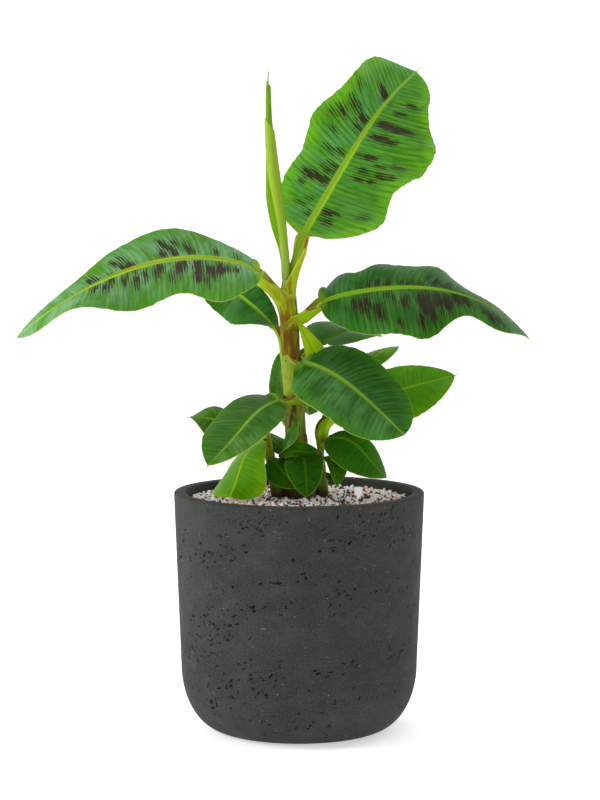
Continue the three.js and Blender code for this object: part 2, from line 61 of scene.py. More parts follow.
# ---------- grit and label ----------
GRIT_TOP = 313
GRIT_CROWN = 2.5
STONE = 4.85                  # width of a common stone
STONE_SHARES = {"pink": 0.375, "white": 0.325, "maroon": 0.3}
STONE_STEP = 0.86 * STONE     # from one stone's middle to the next in a row
ROW_STEP = 0.866 * STONE_STEP
GRIT_GLOW = 0.16
LABEL_AT = (80, -15)
LABEL_WIDE = 10
LABEL_THICK = 1.2
LABEL_HIGH = 16
LABEL_STAKE = 4
LABEL_GLOW = 0.36

# ---------- the leaf rule's shared shape ----------
USUAL = {
    "peak": 0.45, "blunt": 2.2, "sharp": 2.0, "lobe": 0.25, "reach": 0.1, "cup": 0.1,
    "waves": [0, 0, 0], "fullLeft": [1, 1], "fullRight": [1, 1], "stalk": [6, 4], "midrib": 2.2,
}
CURL = 62                     # degrees each side of a leaf stalk rolls up into a channel
BLADE = 1.0                   # thickness of the blade
UNEVEN = 0.016                # how far the margin wanders, as a share of the half width
RIB_COLUMNS = 4               # columns of the grid that the midrib takes on each side

# Sizes of each leaf, in millimetres and degrees: "foot" on the stem and "neck" where the blade begins,
# "leave" and "arrive" the stalk's headings and rises; headings run from +X towards +Y, rises are above
# the level, rolls lift the left half. "left" and "right" hold the half width, then its folds.
LEAVES = {
  "crown_leaf": {
    "foot": [-8, 3, 588], "leave": [25, 82], "neck": [6, 18, 673], "arrive": [30, 70],
    "heading": [30, 40, 50], "rise": [56, 50, 28], "roll": [45, 50, 45], "length": 310,
    "left": [82, 10, 0, 5, 25, -10], "right": [88, 15, 0, 5, 0, 5],
    "fullLeft": [1.05, 1, 0.8, 0.9, 0.8, 1, 1.2], "fullRight": [0.95, 1.25, 0.95, 1.15, 1.1, 0.8, 1.1],
    "waves": [4.5, 0.07, 0.1], "peak": 0.5, "sharp": 2.7, "lobe": 0.2, "reach": 0.15, "cup": 0.05,
    "stalk": [10, 7], "midrib": 4,
  },
  "left_arch_leaf": {
    "foot": [-25, -2, 556], "leave": [190, 80], "neck": [-55, -17, 627], "arrive": [195, 38],
    "heading": [195, 195, 175], "rise": [20, -18, -42], "roll": [-35, -40, -35], "length": 355,
    "left": [81, 20, 5, 0, 30, 5], "right": [52, 5, 10, 10, 5, 15],
    "fullLeft": [1.15, 1.15, 0.75, 0.85, 1.05, 1, 1.15], "fullRight": [1.05, 1, 1.25, 1.05, 0.75, 0.85, 0.8],
    "waves": [2.5, 0.08, 0.3], "peak": 0.4, "blunt": 2.4, "sharp": 1.2, "lobe": 0.3, "cup": 0.2,
    "stalk": [14, 9], "midrib": 4,
  },
  "pale_leaf": {
    "foot": [-5, -9, 562], "leave": [-20, -40], "neck": [-1, -13, 556],
    "heading": [5, 12, 20], "rise": [-60, -64, -64], "roll": [75, 75, 75], "length": 100,
    "left": [18, 0, 5, 5], "right": [16, 0, 5, 5],
    "fullLeft": [0.4, 0.8, 1.1, 1], "fullRight": [0.4, 0.8, 1.1, 1],
    "peak": 0.6, "blunt": 1.6, "stalk": [3.5, 3],
  },
  "right_arch_leaf": {
    "foot": [0, 1, 545], "leave": [-10, 70], "neck": [30, -5, 583], "arrive": [-15, 40],
    "heading": [-15, -5, 15], "rise": [18, -6, -50], "roll": [40, 35, 20], "length": 305,
    "left": [62, 0, 15, 0, -5, -5], "right": [71, 5, 0, 5, 10, 25],
    "fullLeft": [1.35, 1.4, 0.95, 1.1, 1, 0.97, 1.1, 0.88, 0.84, 0.97, 1.1, 1.05, 1],
    "fullRight": [1.05, 1.05, 1.1, 1.15, 0.6, 1.15, 1],
    "waves": [2.5, 0.08, 0], "sharp": 2.2, "cup": 0.3,
    "stalk": [11, 7], "midrib": 3.5,
  },
  "front_right_leaf": {
    "foot": [-4, -10, 503], "leave": [-50, 5], "neck": [7, -18, 501],
    "heading": [-45, -30, -35], "rise": [-6, -34, -38], "roll": [40, 30, 30], "length": 185,
    "left": [66, 0, 0, -5], "right": [66, 0, 5, -5], "blunt": 2.4, "sharp": 2.5,
    "stalk": [6, 5], "midrib": 3,
  },
  "front_left_leaf": {
    "foot": [-10, -11, 442], "leave": [240, 45], "neck": [-27, -37, 452],
    "heading": [235, 225, 210], "rise": [-2, -38, -38], "roll": [-25, -20, -30], "length": 155,
    "left": [38, -5, 5, 20], "right": [55, -5, -10, 15],
  },
  "back_left_leaf": {
    "foot": [-20, 3, 482], "leave": [160, 88], "neck": [-33, 21, 545],
    "heading": [145, 145, 145], "rise": [42, 28, 8], "roll": [0, -55, -10], "length": 155,
    "left": [38, 20, -20, 0], "right": [29, 5, 0, 0], "stalk": [5, 3.5],
  },
  "back_right_leaf": {
    "foot": [-2, 9, 505], "leave": [40, 50], "neck": [30, 34, 524],
    "heading": [40, 45, 45], "rise": [20, 8, -32], "roll": [15, 10, 10], "length": 115,
    "left": [58, 10, 5, 0], "right": [43, 10, 5, 0],
  },
  "low_back_leaf": {
    "foot": [-6, 11, 476], "leave": [70, 20], "neck": [2, 29, 476],
    "heading": [80, 80, 65], "rise": [-6, -50, -62], "roll": [0, 5, 0], "length": 85,
    "left": [21, 5, 10, 5], "right": [36, 5, 5, 5], "stalk": [4, 3], "midrib": 1.6,
  },
  "rear_leaf": {
    "foot": [-4, 10, 488], "leave": [55, 40], "neck": [13, 33, 500],
    "heading": [52, 52, 50], "rise": [10, -5, -30], "roll": [10, 10, 10], "length": 85,
    "left": [26, 10, 5, 5], "right": [26, 10, 5, 5], "stalk": [3.5, 3], "midrib": 1.6,
  },
  "left_upright_leaf": {
    "foot": [-18, 6, 414], "leave": [150, 60], "neck": [-32, 19, 445],
    "heading": [70, 70, 75], "rise": [72, 72, 72], "roll": [10, -20, 0], "length": 70,
    "left": [13, 30, 25, 30], "right": [33, 25, 45, 30], "stalk": [3.5, 3], "midrib": 1.6,
  },
  "low_left_leaf": {
    "foot": [-12, 8, 374], "leave": [150, 50], "neck": [-18, 13, 376],
    "heading": [155, 150, 145], "rise": [52, 24, 2], "roll": [-25, -5, -15], "length": 55,
    "left": [22, 0, 5, 5], "right": [20, 5, 5, 5], "stalk": [2.5, 2.5], "midrib": 1.4,
  },
  "low_front_leaf": {
    "foot": [7, -12, 358], "leave": [-90, 40], "neck": [9, -27, 371],
    "heading": [-100, -85, -85], "rise": [26, -32, -88], "roll": [5, 10, 0], "length": 95,
    "left": [26, 5, 10, 5], "right": [27, 5, 5, 5], "stalk": [3.5, 3], "midrib": 1.6,
  },
  "right_sucker_far_leaf": {
    "foot": [37, 16, 402], "leave": [30, 52], "neck": [92, 49, 436],
    "heading": [25, 15, 5], "rise": [28, 14, 14], "roll": [35, 30, 20], "length": 135,
    "left": [48, 5, 10, 15], "right": [55, -15, 0, 5], "stalk": [6, 3.5],
  },
  "right_sucker_back_leaf": {
    "foot": [32, 19, 406], "leave": [50, 75], "neck": [67, 68, 471],
    "heading": [40, 35, 35], "rise": [42, 26, 6], "roll": [10, 10, 5], "length": 100,
    "left": [20, 10, 0, 0], "right": [26, 10, 0, 5], "stalk": [5.5, 3],
  },
  "right_sucker_low_leaf": {
    "foot": [35, 6, 392], "leave": [-60, 50], "neck": [40, -7, 396],
    "heading": [-25, -30, -25], "rise": [18, -40, -42], "roll": [25, 20, 15], "length": 105,
    "left": [25, 10, 5, -5], "right": [48, 5, 0, 5], "stalk": [4.5, 3.5],
  },
  "right_sucker_arch_leaf": {
    "foot": [29, 7, 374], "leave": [270, 20], "neck": [24, -21, 381],
    "heading": [205, 200, 190], "rise": [-14, 10, -62], "roll": [-60, -60, -40], "length": 50,
    "left": [10, 5, 5, 10], "right": [15, 5, 5, 5], "stalk": [2.5, 2], "midrib": 1.2,
  },
  "right_sucker_small_leaf": {
    "foot": [31, 7, 364], "leave": [-90, 30], "neck": [30, -12, 370],
    "heading": [-45, -65, -45], "rise": [32, -52, -82], "roll": [10, 10, -5], "length": 60,
    "left": [22, 5, 5, 0], "right": [7, 5, 5, 5], "stalk": [2.5, 2.5], "midrib": 1.4,
  },
  "right_sucker_foot_leaf": {
    "foot": [32, 6, 348], "leave": [-85, 20], "neck": [33, -14, 351],
    "heading": [-55, -60, -70], "rise": [10, -40, -70], "roll": [0, 0, 0], "length": 20,
    "left": [7, 5, 5, 5], "right": [4, 5, 5, 5], "stalk": [2, 1.5], "midrib": 1,
  },
  "left_sucker_far_leaf": {
    "foot": [-47, 0, 400], "leave": [150, 45], "neck": [-77, 21, 409],
    "heading": [180, 185, 185], "rise": [22, 12, 0], "roll": [-5, -25, -5], "length": 75,
    "left": [46, 10, -5, 10], "right": [37, 0, 5, -5], "stalk": [3.5, 3],
  },
  "left_sucker_pale_leaf": {
    "foot": [-46, -9, 396], "leave": [220, 10], "neck": [-56, -17, 391],
    "heading": [220, 230, 240], "rise": [-18, -62, -46], "roll": [10, 10, -5], "length": 90,
    "left": [49, 10, 0, -20], "right": [56, -5, -15, -15], "peak": 0.55, "sharp": 2.6, "stalk": [3.5, 3],
  },
  "left_sucker_low_leaf": {
    "foot": [-38, -9, 370], "leave": [-75, 0], "neck": [-36, -17, 369],
    "heading": [-65, -45, -15], "rise": [-14, -40, -42], "roll": [15, 30, 20], "length": 60,
    "left": [18, 5, 25, 10], "right": [22, 0, -10, -5], "stalk": [3, 2.5], "midrib": 1.4,
  },
  "left_sucker_upright_leaf": {
    "foot": [-36, -9, 362], "leave": [-30, 30], "neck": [-24, -19, 373],
    "heading": [-20, 0, 5], "rise": [66, 62, 64], "roll": [0, 15, 0], "length": 60,
    "left": [13, 20, 25, 25], "right": [18, 25, 0, 20], "stalk": [2.5, 2.5], "midrib": 1.4,
  },
  "left_sucker_rear_leaf": {
    "foot": [-42, 1, 384], "leave": [100, 30], "neck": [-45, 32, 391],
    "heading": [112, 120, 128], "rise": [8, -5, -30], "roll": [-5, -5, -5], "length": 90,
    "left": [22, 10, 5, 5], "right": [24, 10, 5, 5], "stalk": [3, 2.5], "midrib": 1.6,
  },
}
# Stems: places and half widths at even steps up the stem, from the cut foot to the top.
STEMS = {
    "pseudostem": {
        "x": [0, -2, -4.5, -7, -9.5, -12, -14, -15], "y": [0, 0],
        "radius": [18, 14.5, 13, 12.7, 12.2, 12, 12.2, 9.5], "from": 315.8, "to": 612,
    },
    "right_sucker_stem": {
        "x": [31, 30.5, 29.5, 31], "y": [12, 12, 12, 13],
        "radius": [7.5, 6, 5, 10], "from": 315.8, "to": 408,
    },
    "left_sucker_stem": {
        "x": [-27, -33, -40, -46], "y": [-3, -3, -4, -4],
        "radius": [9, 7.5, 7, 5.5], "from": 315.8, "to": 404,
    },
}

# The newest leaf, still rolled into a spear, with the thread at its tip.
SPEAR = {
    "x": [-17, -20, -28, -33, -36, -39, -41, -40.5, -39.5], "y": [0, 0],
    "radius": [5.5, 6.5, 9.5, 11, 8.5, 6, 4, 1.6, 0.9], "from": 612.3, "to": 899,
}

# The long roll in front of the spear's flap.
ROLL = {
    "x": [-17.8, -19.6, -23.6, -28.8, -34.2, -37.8, -40.6, -41.2, -41],
    "radius": [5.2, 5.4, 6.5, 7.8, 8.1, 7.1, 5.5, 2.9, 1.2],
}

CORE_RADIUS = [4, 4, 5, 6, 6.4, 5.6, 4.2, 3.3, 1.2]

# Leaves whose foot wraps its stem in a sheath: the stem, how far down the sheath runs, degrees
# each side wraps at its top, how soon it opens up the stalk, the stalk's half width and curl
# where the blade begins, how far the midrib sinks there, and how far the sheath stands off.
SHEATHS = {
    "crown_leaf": ("pseudostem", 45, 150, 0.75, 9.5, 75, 3, -1.2),
    "left_arch_leaf": ("pseudostem", 70, 170, 0.9, 13, 95, 12, 0.3),
    "right_arch_leaf": ("pseudostem", 75, 168, 0.5, 11, 90, 4, 0.7),
    "back_left_leaf": ("pseudostem", 60, 168, 0.4, 7.5, 65, 0, 0.7),
    "front_right_leaf": ("pseudostem", 60, 165, 0.7, 6.5, 80, 0, 1.0),
    "front_left_leaf": ("pseudostem", 60, 165, 0.6, 6, 80, 0, 0.8),
    "right_sucker_far_leaf": ("right_sucker_stem", 30, 160, 0.7, 5, 80, 0, 0.5),
    "left_sucker_far_leaf": ("left_sucker_stem", 30, 160, 0.7, 4, 80, 0, 0.4),
}

# Dark blotches beside the midrib: share of the length, millimetres to the left, strength.
SPOTS = {
    "crown_leaf": [
        (0.756, 11, 1.1), (0.764, 17, 0.6), (0.646, 46, 0.5), (0.595, 35, 0.7), (0.605, 24, 0.7),
        (0.539, 42, 0.75), (0.595, 13, 0.9), (0.545, 12, 0.7), (0.461, 39, 0.5), (0.5, 53, 0.45),
        (0.761, -31, 0.7), (0.705, -26, 0.7), (0.62, -19, 1.2), (0.61, -38, 1.2), (0.545, -24, 1.1),
        (0.537, -34, 0.9), (0.616, -50, 0.8), (0.441, -26, 0.9), (0.439, -13, 0.6), (0.387, 29, 0.6),
        (0.407, 14, 0.6), (0.368, -28, 0.7), (0.405, -47, 0.55), (0.419, -66, 0.6), (0.362, -52, 0.8),
        (0.362, -64, 0.7), (0.329, -27, 0.7), (0.329, -43, 0.6), (0.241, 36, 0.9), (0.256, 23, 1.1),
        (0.262, 11, 0.9), (0.306, 15, 0.8), (0.337, 10, 0.7), (0.131, -15, 0.9), (0.091, -19, 0.8),
        (0.139, -27, 0.5), (0.156, -61, 0.55), (0.094, 9, 0.5), (0.116, 25, 0.5), (0.197, 41, 0.45),
        (0.157, 17, 0.45),
    ],
    "left_arch_leaf": [
        (0.34, -28, 0.9), (0.324, -19, 0.7), (0.497, -23, 0.6), (0.3, -32, 0.6), (0.261, -16, 0.9),
        (0.319, -9, 1.0), (0.358, -11, 0.8), (0.488, -2, 1.0), (0.518, -6, 0.9), (0.404, 20, 0.8),
        (0.388, 12, 0.9), (0.448, 17, 0.7), (0.315, 18, 1.1), (0.298, 15, 0.9), (0.349, 30, 0.7),
        (0.242, 19, 1.2), (0.244, 33, 1.1), (0.206, 26, 0.9), (0.206, 44, 0.7), (0.155, 24, 1.1),
        (0.182, 29, 1.0), (0.129, 23, 0.7), (0.486, 23, 0.9), (0.532, 17, 0.7), (0.58, 8, 0.8),
        (0.604, 17, 0.8), (0.634, -5, 0.8), (0.648, 12, 0.8), (0.653, -6, 0.7), (0.095, 23, 0.6),
        (0.159, -12, 0.6), (0.088, -12, 0.5), (0.533, -16, 0.7),
    ],
    "right_arch_leaf": [
        (0.22, 7, 0.8), (0.254, 8, 0.9), (0.3, 6, 0.9), (0.359, 6, 0.7), (0.391, 4, 0.8),
        (0.462, 25, 0.7), (0.5, 16, 0.9), (0.553, 14, 0.8), (0.442, 7, 0.6), (0.181, 7, 0.5),
        (0.182, -25, 1.0), (0.206, -22, 0.9), (0.203, -31, 0.8), (0.148, -21, 0.8), (0.25, -35, 1.1),
        (0.262, -46, 0.8), (0.297, -15, 0.6), (0.323, -20, 0.6), (0.367, -29, 0.9), (0.382, -22, 0.7),
        (0.441, -25, 1.1), (0.47, -27, 1.3), (0.476, -45, 1.1), (0.451, -39, 1.1), (0.515, -22, 1.1),
        (0.555, -24, 1.2), (0.597, -12, 1.1), (0.522, -39, 0.7), (0.425, -59, 0.9), (0.333, -63, 0.6),
        (0.636, -12, 0.9), (0.648, -19, 0.7), (0.735, -33, 1.0), (0.765, -32, 0.8), (0.719, -27, 0.6),
    ],
}

# Steps left by old sheaths: height, how far it stands out, its tilt and where it is highest.
SCARS = {
    "pseudostem": [(443, 1.4, 2.5, 4.2), (400, 1.2, 3, 1.0), (366, 1.5, 4, 3.6), (340, 1.6, 3, 5.5)],
    "right_sucker_stem": [(372, 0.8, 3, 4.0), (346, 0.9, 3, 1.0)],
    "left_sucker_stem": [(360, 0.8, 3, 4.0), (338, 0.9, 3, 1.0)],
}

# Leaves that end in a dry thread, and where its end leans.
THREADS = {
    "crown_leaf": (6, 0, 8), "left_sucker_far_leaf": (0, 0, -3), "right_sucker_far_leaf": (0, 0, 2),
    "front_left_leaf": (2, 0, -3),
}

STUDIO_WHITE = "#ffffff"


# ---------- small helpers ----------
def linear(code):
    """An sRGB hex value as the linear colour a shader takes."""
    parts = [int(code[i:i + 2], 16) / 255 for i in (1, 3, 5)]
    return [p / 12.92 if p <= 0.04045 else ((p + 0.055) / 1.055) ** 2.4 for p in parts] + [1.0]


def mix(a, b, f):
    return a + (b - a) * f


def ease(f):
    f = min(max(f, 0), 1)
    return f * f * (3 - 2 * f)


def along(values, u):
    """Smooth curve through evenly spaced values."""
    last = len(values) - 1
    place = min(max(u, 0), 1) * last
    i = min(int(place), last - 1)
    f = place - i
    b, c = values[i], values[i + 1]
    a = values[i - 1] if i > 0 else 2 * b - c
    d = values[i + 2] if i + 2 <= last else 2 * c - b
    return b + 0.5 * f * (c - a + f * (2 * a - 5 * b + 4 * c - d + f * (3 * (b - c) + d - a)))


def direction(heading, rise):
    h, r = math.radians(heading), math.radians(rise)
    return np.array([math.cos(r) * math.cos(h), math.cos(r) * math.sin(h), math.sin(r)])


def unit(v):
    return v / np.linalg.norm(v)


def start_alone():
    if bpy.context.object and bpy.context.object.mode != "OBJECT":
        bpy.ops.object.mode_set(mode="OBJECT")
    bpy.ops.object.select_all(action="DESELECT")


def pick(piece):
    start_alone()
    piece.select_set(True)
    bpy.context.view_layer.objects.active = piece


def apply_all(piece):
    pick(piece)
    for modifier in list(piece.modifiers):
        bpy.ops.object.modifier_apply(modifier=modifier.name)


def smooth(piece, degrees):
    pick(piece)
    bpy.ops.object.shade_smooth_by_angle(angle=math.radians(degrees))


def finish(piece, nodes):
    """Ties a finished piece to the body and the nodes it stands for."""
    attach(piece, "root")
    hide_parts(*nodes)


def add_layer(piece, name, values):
    """Keeps a number or a vector with each vertex, for the finishes to read."""
    kind, field = ("FLOAT_VECTOR", "vector") if values.ndim > 1 else ("FLOAT", "value")
    layer = piece.data.attributes.new(name, kind, "POINT")
    layer.data.foreach_set(field, values.ravel())


def face_outwards(piece):
    pick(piece)
    bpy.ops.object.mode_set(mode="EDIT")
    bpy.ops.mesh.select_all(action="SELECT")
    bpy.ops.mesh.normals_make_consistent(inside=False)
    bpy.ops.object.mode_set(mode="OBJECT")


def on_circle(angle, radius, height):
    return radius * math.cos(angle), radius * math.sin(angle), height


def sheet_of(name, columns, rows, points):
    """A grid primitive whose vertices are laid out row by row; points is rows+1 x columns+1 x 3."""
    start_alone()
    bpy.ops.mesh.primitive_grid_add(x_subdivisions=columns, y_subdivisions=rows, size=1)
    piece = bpy.context.object
    piece.name = piece.data.name = name
    flat = np.zeros(len(piece.data.vertices) * 3)
    piece.data.vertices.foreach_get("co", flat)
    flat = flat.reshape(-1, 3)
    across = np.rint((flat[:, 0] + 0.5) * columns).astype(int)
    up = np.rint((flat[:, 1] + 0.5) * rows).astype(int)
    piece.data.vertices.foreach_set("co", (points[up, across] * MM).ravel())
    piece.data.update()
    return piece, up, across


def stack_of(name, sides, rings):
    """A filled circle extruded up ring by ring in edit mode, one unit a ring."""
    start_alone()
    bpy.ops.mesh.primitive_circle_add(vertices=sides, radius=1, fill_type="NGON")
    piece = bpy.context.object
    piece.name = piece.data.name = name
    bpy.ops.object.mode_set(mode="EDIT")
    bpy.ops.mesh.select_all(action="SELECT")
    for _ in range(rings):
        bpy.ops.mesh.extrude_region_move(TRANSFORM_OT_translate={"value": (0, 0, 1)})
    bpy.ops.object.mode_set(mode="OBJECT")
    face_outwards(piece)
    return piece


def shape_stack(piece, place):
    """Moves every vertex of a stack to place(angle, ring), in millimetres."""
    for vertex in piece.data.vertices:
        ring = round(vertex.co.z)
        angle = math.atan2(vertex.co.y, vertex.co.x)
        vertex.co = Vector(place(angle, ring)) * MM
    piece.data.update()


# ---------- one leaf: sheath, stalk and blade as a single sheet ----------
def outline(t, leaf):
    """Half width of the blade, 0 to 1, from its base to its tip."""
    peak = leaf["peak"]
    if t < peak:
        return math.sqrt(max(1 - (1 - t / peak) ** leaf["blunt"], 0))
    return max(1 - ((t - peak) / (1 - peak)) ** leaf["sharp"], 0) ** 0.75


def midrib_line(leaf):
    steps = 240
    points = [np.array(leaf["neck"], float)]
    for k in range(steps):
        t = (k + 0.5) / steps
        step = direction(along(leaf["heading"], t), along(leaf["rise"], t))
        points.append(points[-1] + step * leaf["length"] / steps)
    return points


def point_on(points, t):
    place = min(max(t, 0), 1) * (len(points) - 1)
    i = min(int(place), len(points) - 2)
    return points[i] + (points[i + 1] - points[i]) * (place - i)


def framing(forward, heading, roll):
    """Directions across (to the left) and out of the upper face."""
    h = math.radians(heading)
    level = np.array([-math.sin(h), math.cos(h), 0])
    up = unit(np.cross(forward, level))
    side = np.cross(up, forward)
    c, s = math.cos(math.radians(roll)), math.sin(math.radians(roll))
    return side * c + up * s, up * c - side * s


def stem_at(name, z):
    stem = STEMS[name]
    u = (z - stem["from"]) / (stem["to"] - stem["from"])
    return np.array([along(stem["x"], u), along(stem["y"], u), z]), along(stem["radius"], u)


def bezier(p, v):
    w = 1 - v
    at = p[0] * w ** 3 + 3 * p[1] * v * w * w + 3 * p[2] * v * v * w + p[3] * v ** 3
    slope = 3 * ((p[1] - p[0]) * w * w + 2 * (p[2] - p[1]) * v * w + (p[3] - p[2]) * v * v)
    return at, unit(slope)


def stalk_rings(leaf):
    """Rings of a bare stalk: a channel from its foot beside the stem to the blade."""
    foot, neck = np.array(leaf["foot"], float), np.array(leaf["neck"], float)
    pull = np.linalg.norm(neck - foot) / 3
    arrive = leaf.get("arrive") or [leaf["heading"][0], leaf["rise"][0]]
    curve = [foot, foot + direction(*leaf["leave"]) * pull, neck - direction(*arrive) * pull, neck]
    length = pull * 3.2
    rings = []
    count = max(8, int(length / 2.2))
    for j in range(count):
        v = j / count
        at, forward = bezier(curve, v)
        turn = leaf["roll"][0] * v
        across, out = framing(forward, mix(leaf["leave"][0], leaf["heading"][0], v), turn)
        wide = mix(*leaf["stalk"], v)
        rings.append({
            "at": at, "forward": forward, "across": across, "out": out, "wide": [wide, wide],
            "fold": [leaf["right"][1] * v, leaf["left"][1] * v], "curl": CURL, "rib": 0.5 * wide,
            "t": 0, "stalk": 1, "sheath": 0, "far": -length * (1 - v),
        })
    return rings


def sheath_rings(name, leaf):
    """Rings of a stalk that grows out of a sheath: a tube round the stem that opens as it leaves."""
    stem, deep, wrap, opening, neck_wide, neck_curl, sink, proud = SHEATHS[name]
    foot = np.array(leaf["foot"], float)
    centre, radius_top = stem_at(stem, foot[2])
    away = foot - centre
    foot_heading = math.degrees(math.atan2(away[1], away[0]))
    radius_top += proud
    arrive = leaf.get("arrive") or [leaf["heading"][0], leaf["rise"][0]]
    ahead = unit(stem_at(stem, foot[2] + 2)[0] - stem_at(stem, foot[2] - 6)[0])
    last_out = framing(direction(*arrive), leaf["heading"][0], leaf["roll"][0])[1]
    neck_radius = neck_wide / math.radians(neck_curl)
    end = np.array(leaf["neck"], float) - (0, 0, sink) + last_out * neck_radius
    pull = np.linalg.norm(end - centre) / 2.8
    curve = [centre, centre + ahead * pull, end - direction(*arrive) * pull, end]
    length = pull * 3
    rings = []
    count = max(6, int(deep / 2.5))
    for j in range(count):
        w = j / count
        z = foot[2] - deep * (1 - w)
        at, radius = stem_at(stem, z)
        radius += mix(-1.5, 0, w) + proud
        turned = math.radians(mix(175, wrap, w))
        forward = unit(stem_at(stem, z + 2)[0] - stem_at(stem, z - 6)[0])
        across, out = framing(forward, foot_heading, 0)
        rings.append({
            "at": at - out * radius, "forward": forward, "across": across, "out": out,
            "wide": [radius * turned] * 2, "fold": [0, 0], "curl": math.degrees(turned),
            "rib": 0.4 * radius, "t": 0, "stalk": 1, "sheath": 1.0, "far": -(length + deep * (1 - w)),
        })
    count = max(10, int(length / 1.8))
    swing = (leaf["heading"][0] - foot_heading + 180) % 360 - 180
    for j in range(count):
        v = j / count
        at, forward = bezier(curve, v)
        heading = foot_heading + swing * ease(v)
        across, out = framing(forward, heading, leaf["roll"][0] * ease(2 * v - 1))
        open_up = min(v / opening, 1)
        curl = mix(wrap, neck_curl, ease(open_up))
        radius = mix(radius_top, neck_radius, ease(v))
        wide = radius * math.radians(curl)
        rings.append({
            "at": at - out * radius, "forward": forward, "across": across, "out": out,
            "wide": [wide, wide], "fold": [leaf["right"][1] * v ** 3, leaf["left"][1] * v ** 3],
            "curl": curl, "rib": 0.5 * wide, "t": 0, "stalk": 1, "sheath": 1 - open_up,
            "far": -length * (1 - v),
        })
    return rings


def leaf_rings(name, leaf, blade_rows):
    """Rings of the leaf's skin: place, directions, half widths, folds, curl and position."""
    rings = sheath_rings(name, leaf) if name in SHEATHS else stalk_rings(leaf)
    neck_curl = rings[-1]["curl"]
    neck_wide = rings[-1]["wide"][0]
    line = midrib_line(leaf)
    for j in range(blade_rows + 1):
        u = j / blade_rows
        t = u - 0.62 * math.sin(TURN * u) / TURN
        forward = direction(along(leaf["heading"], t), along(leaf["rise"], t))
        across, out = framing(forward, along(leaf["heading"], t), along(leaf["roll"], t))
        width = outline(t, leaf)
        least = mix(neck_wide, 0.8, min(t * 8, 1))
        halves = [leaf["right"][0] * along(leaf["fullRight"], t),
                  leaf["left"][0] * along(leaf["fullLeft"], t)]
        near = max(1 - t / 0.035, 0)
        rings.append({
            "at": point_on(line, t), "forward": forward, "across": across, "out": out,
            "wide": [max(half * width, least) for half in halves],
            "fold": [along(leaf["right"][1:], t), along(leaf["left"][1:], t)],
            "curl": neck_curl * near, "rib": mix(leaf["midrib"] * 1.4, 1.0, t ** 1.5), "t": t,
            "stalk": near, "sheath": 0.0, "far": leaf["length"] * t,
        })
    return rings


def vein_start(a, far, leaf):
    """Where along the midrib the side vein that passes this point leaves it."""
    start = np.array(far, float)
    for _ in range(4):
        t = np.clip(start / leaf["length"], 0, 1)
        lean = 0.06 + 0.55 * t ** 2
        start = far - lean * a - 0.0011 * a * a
    return start


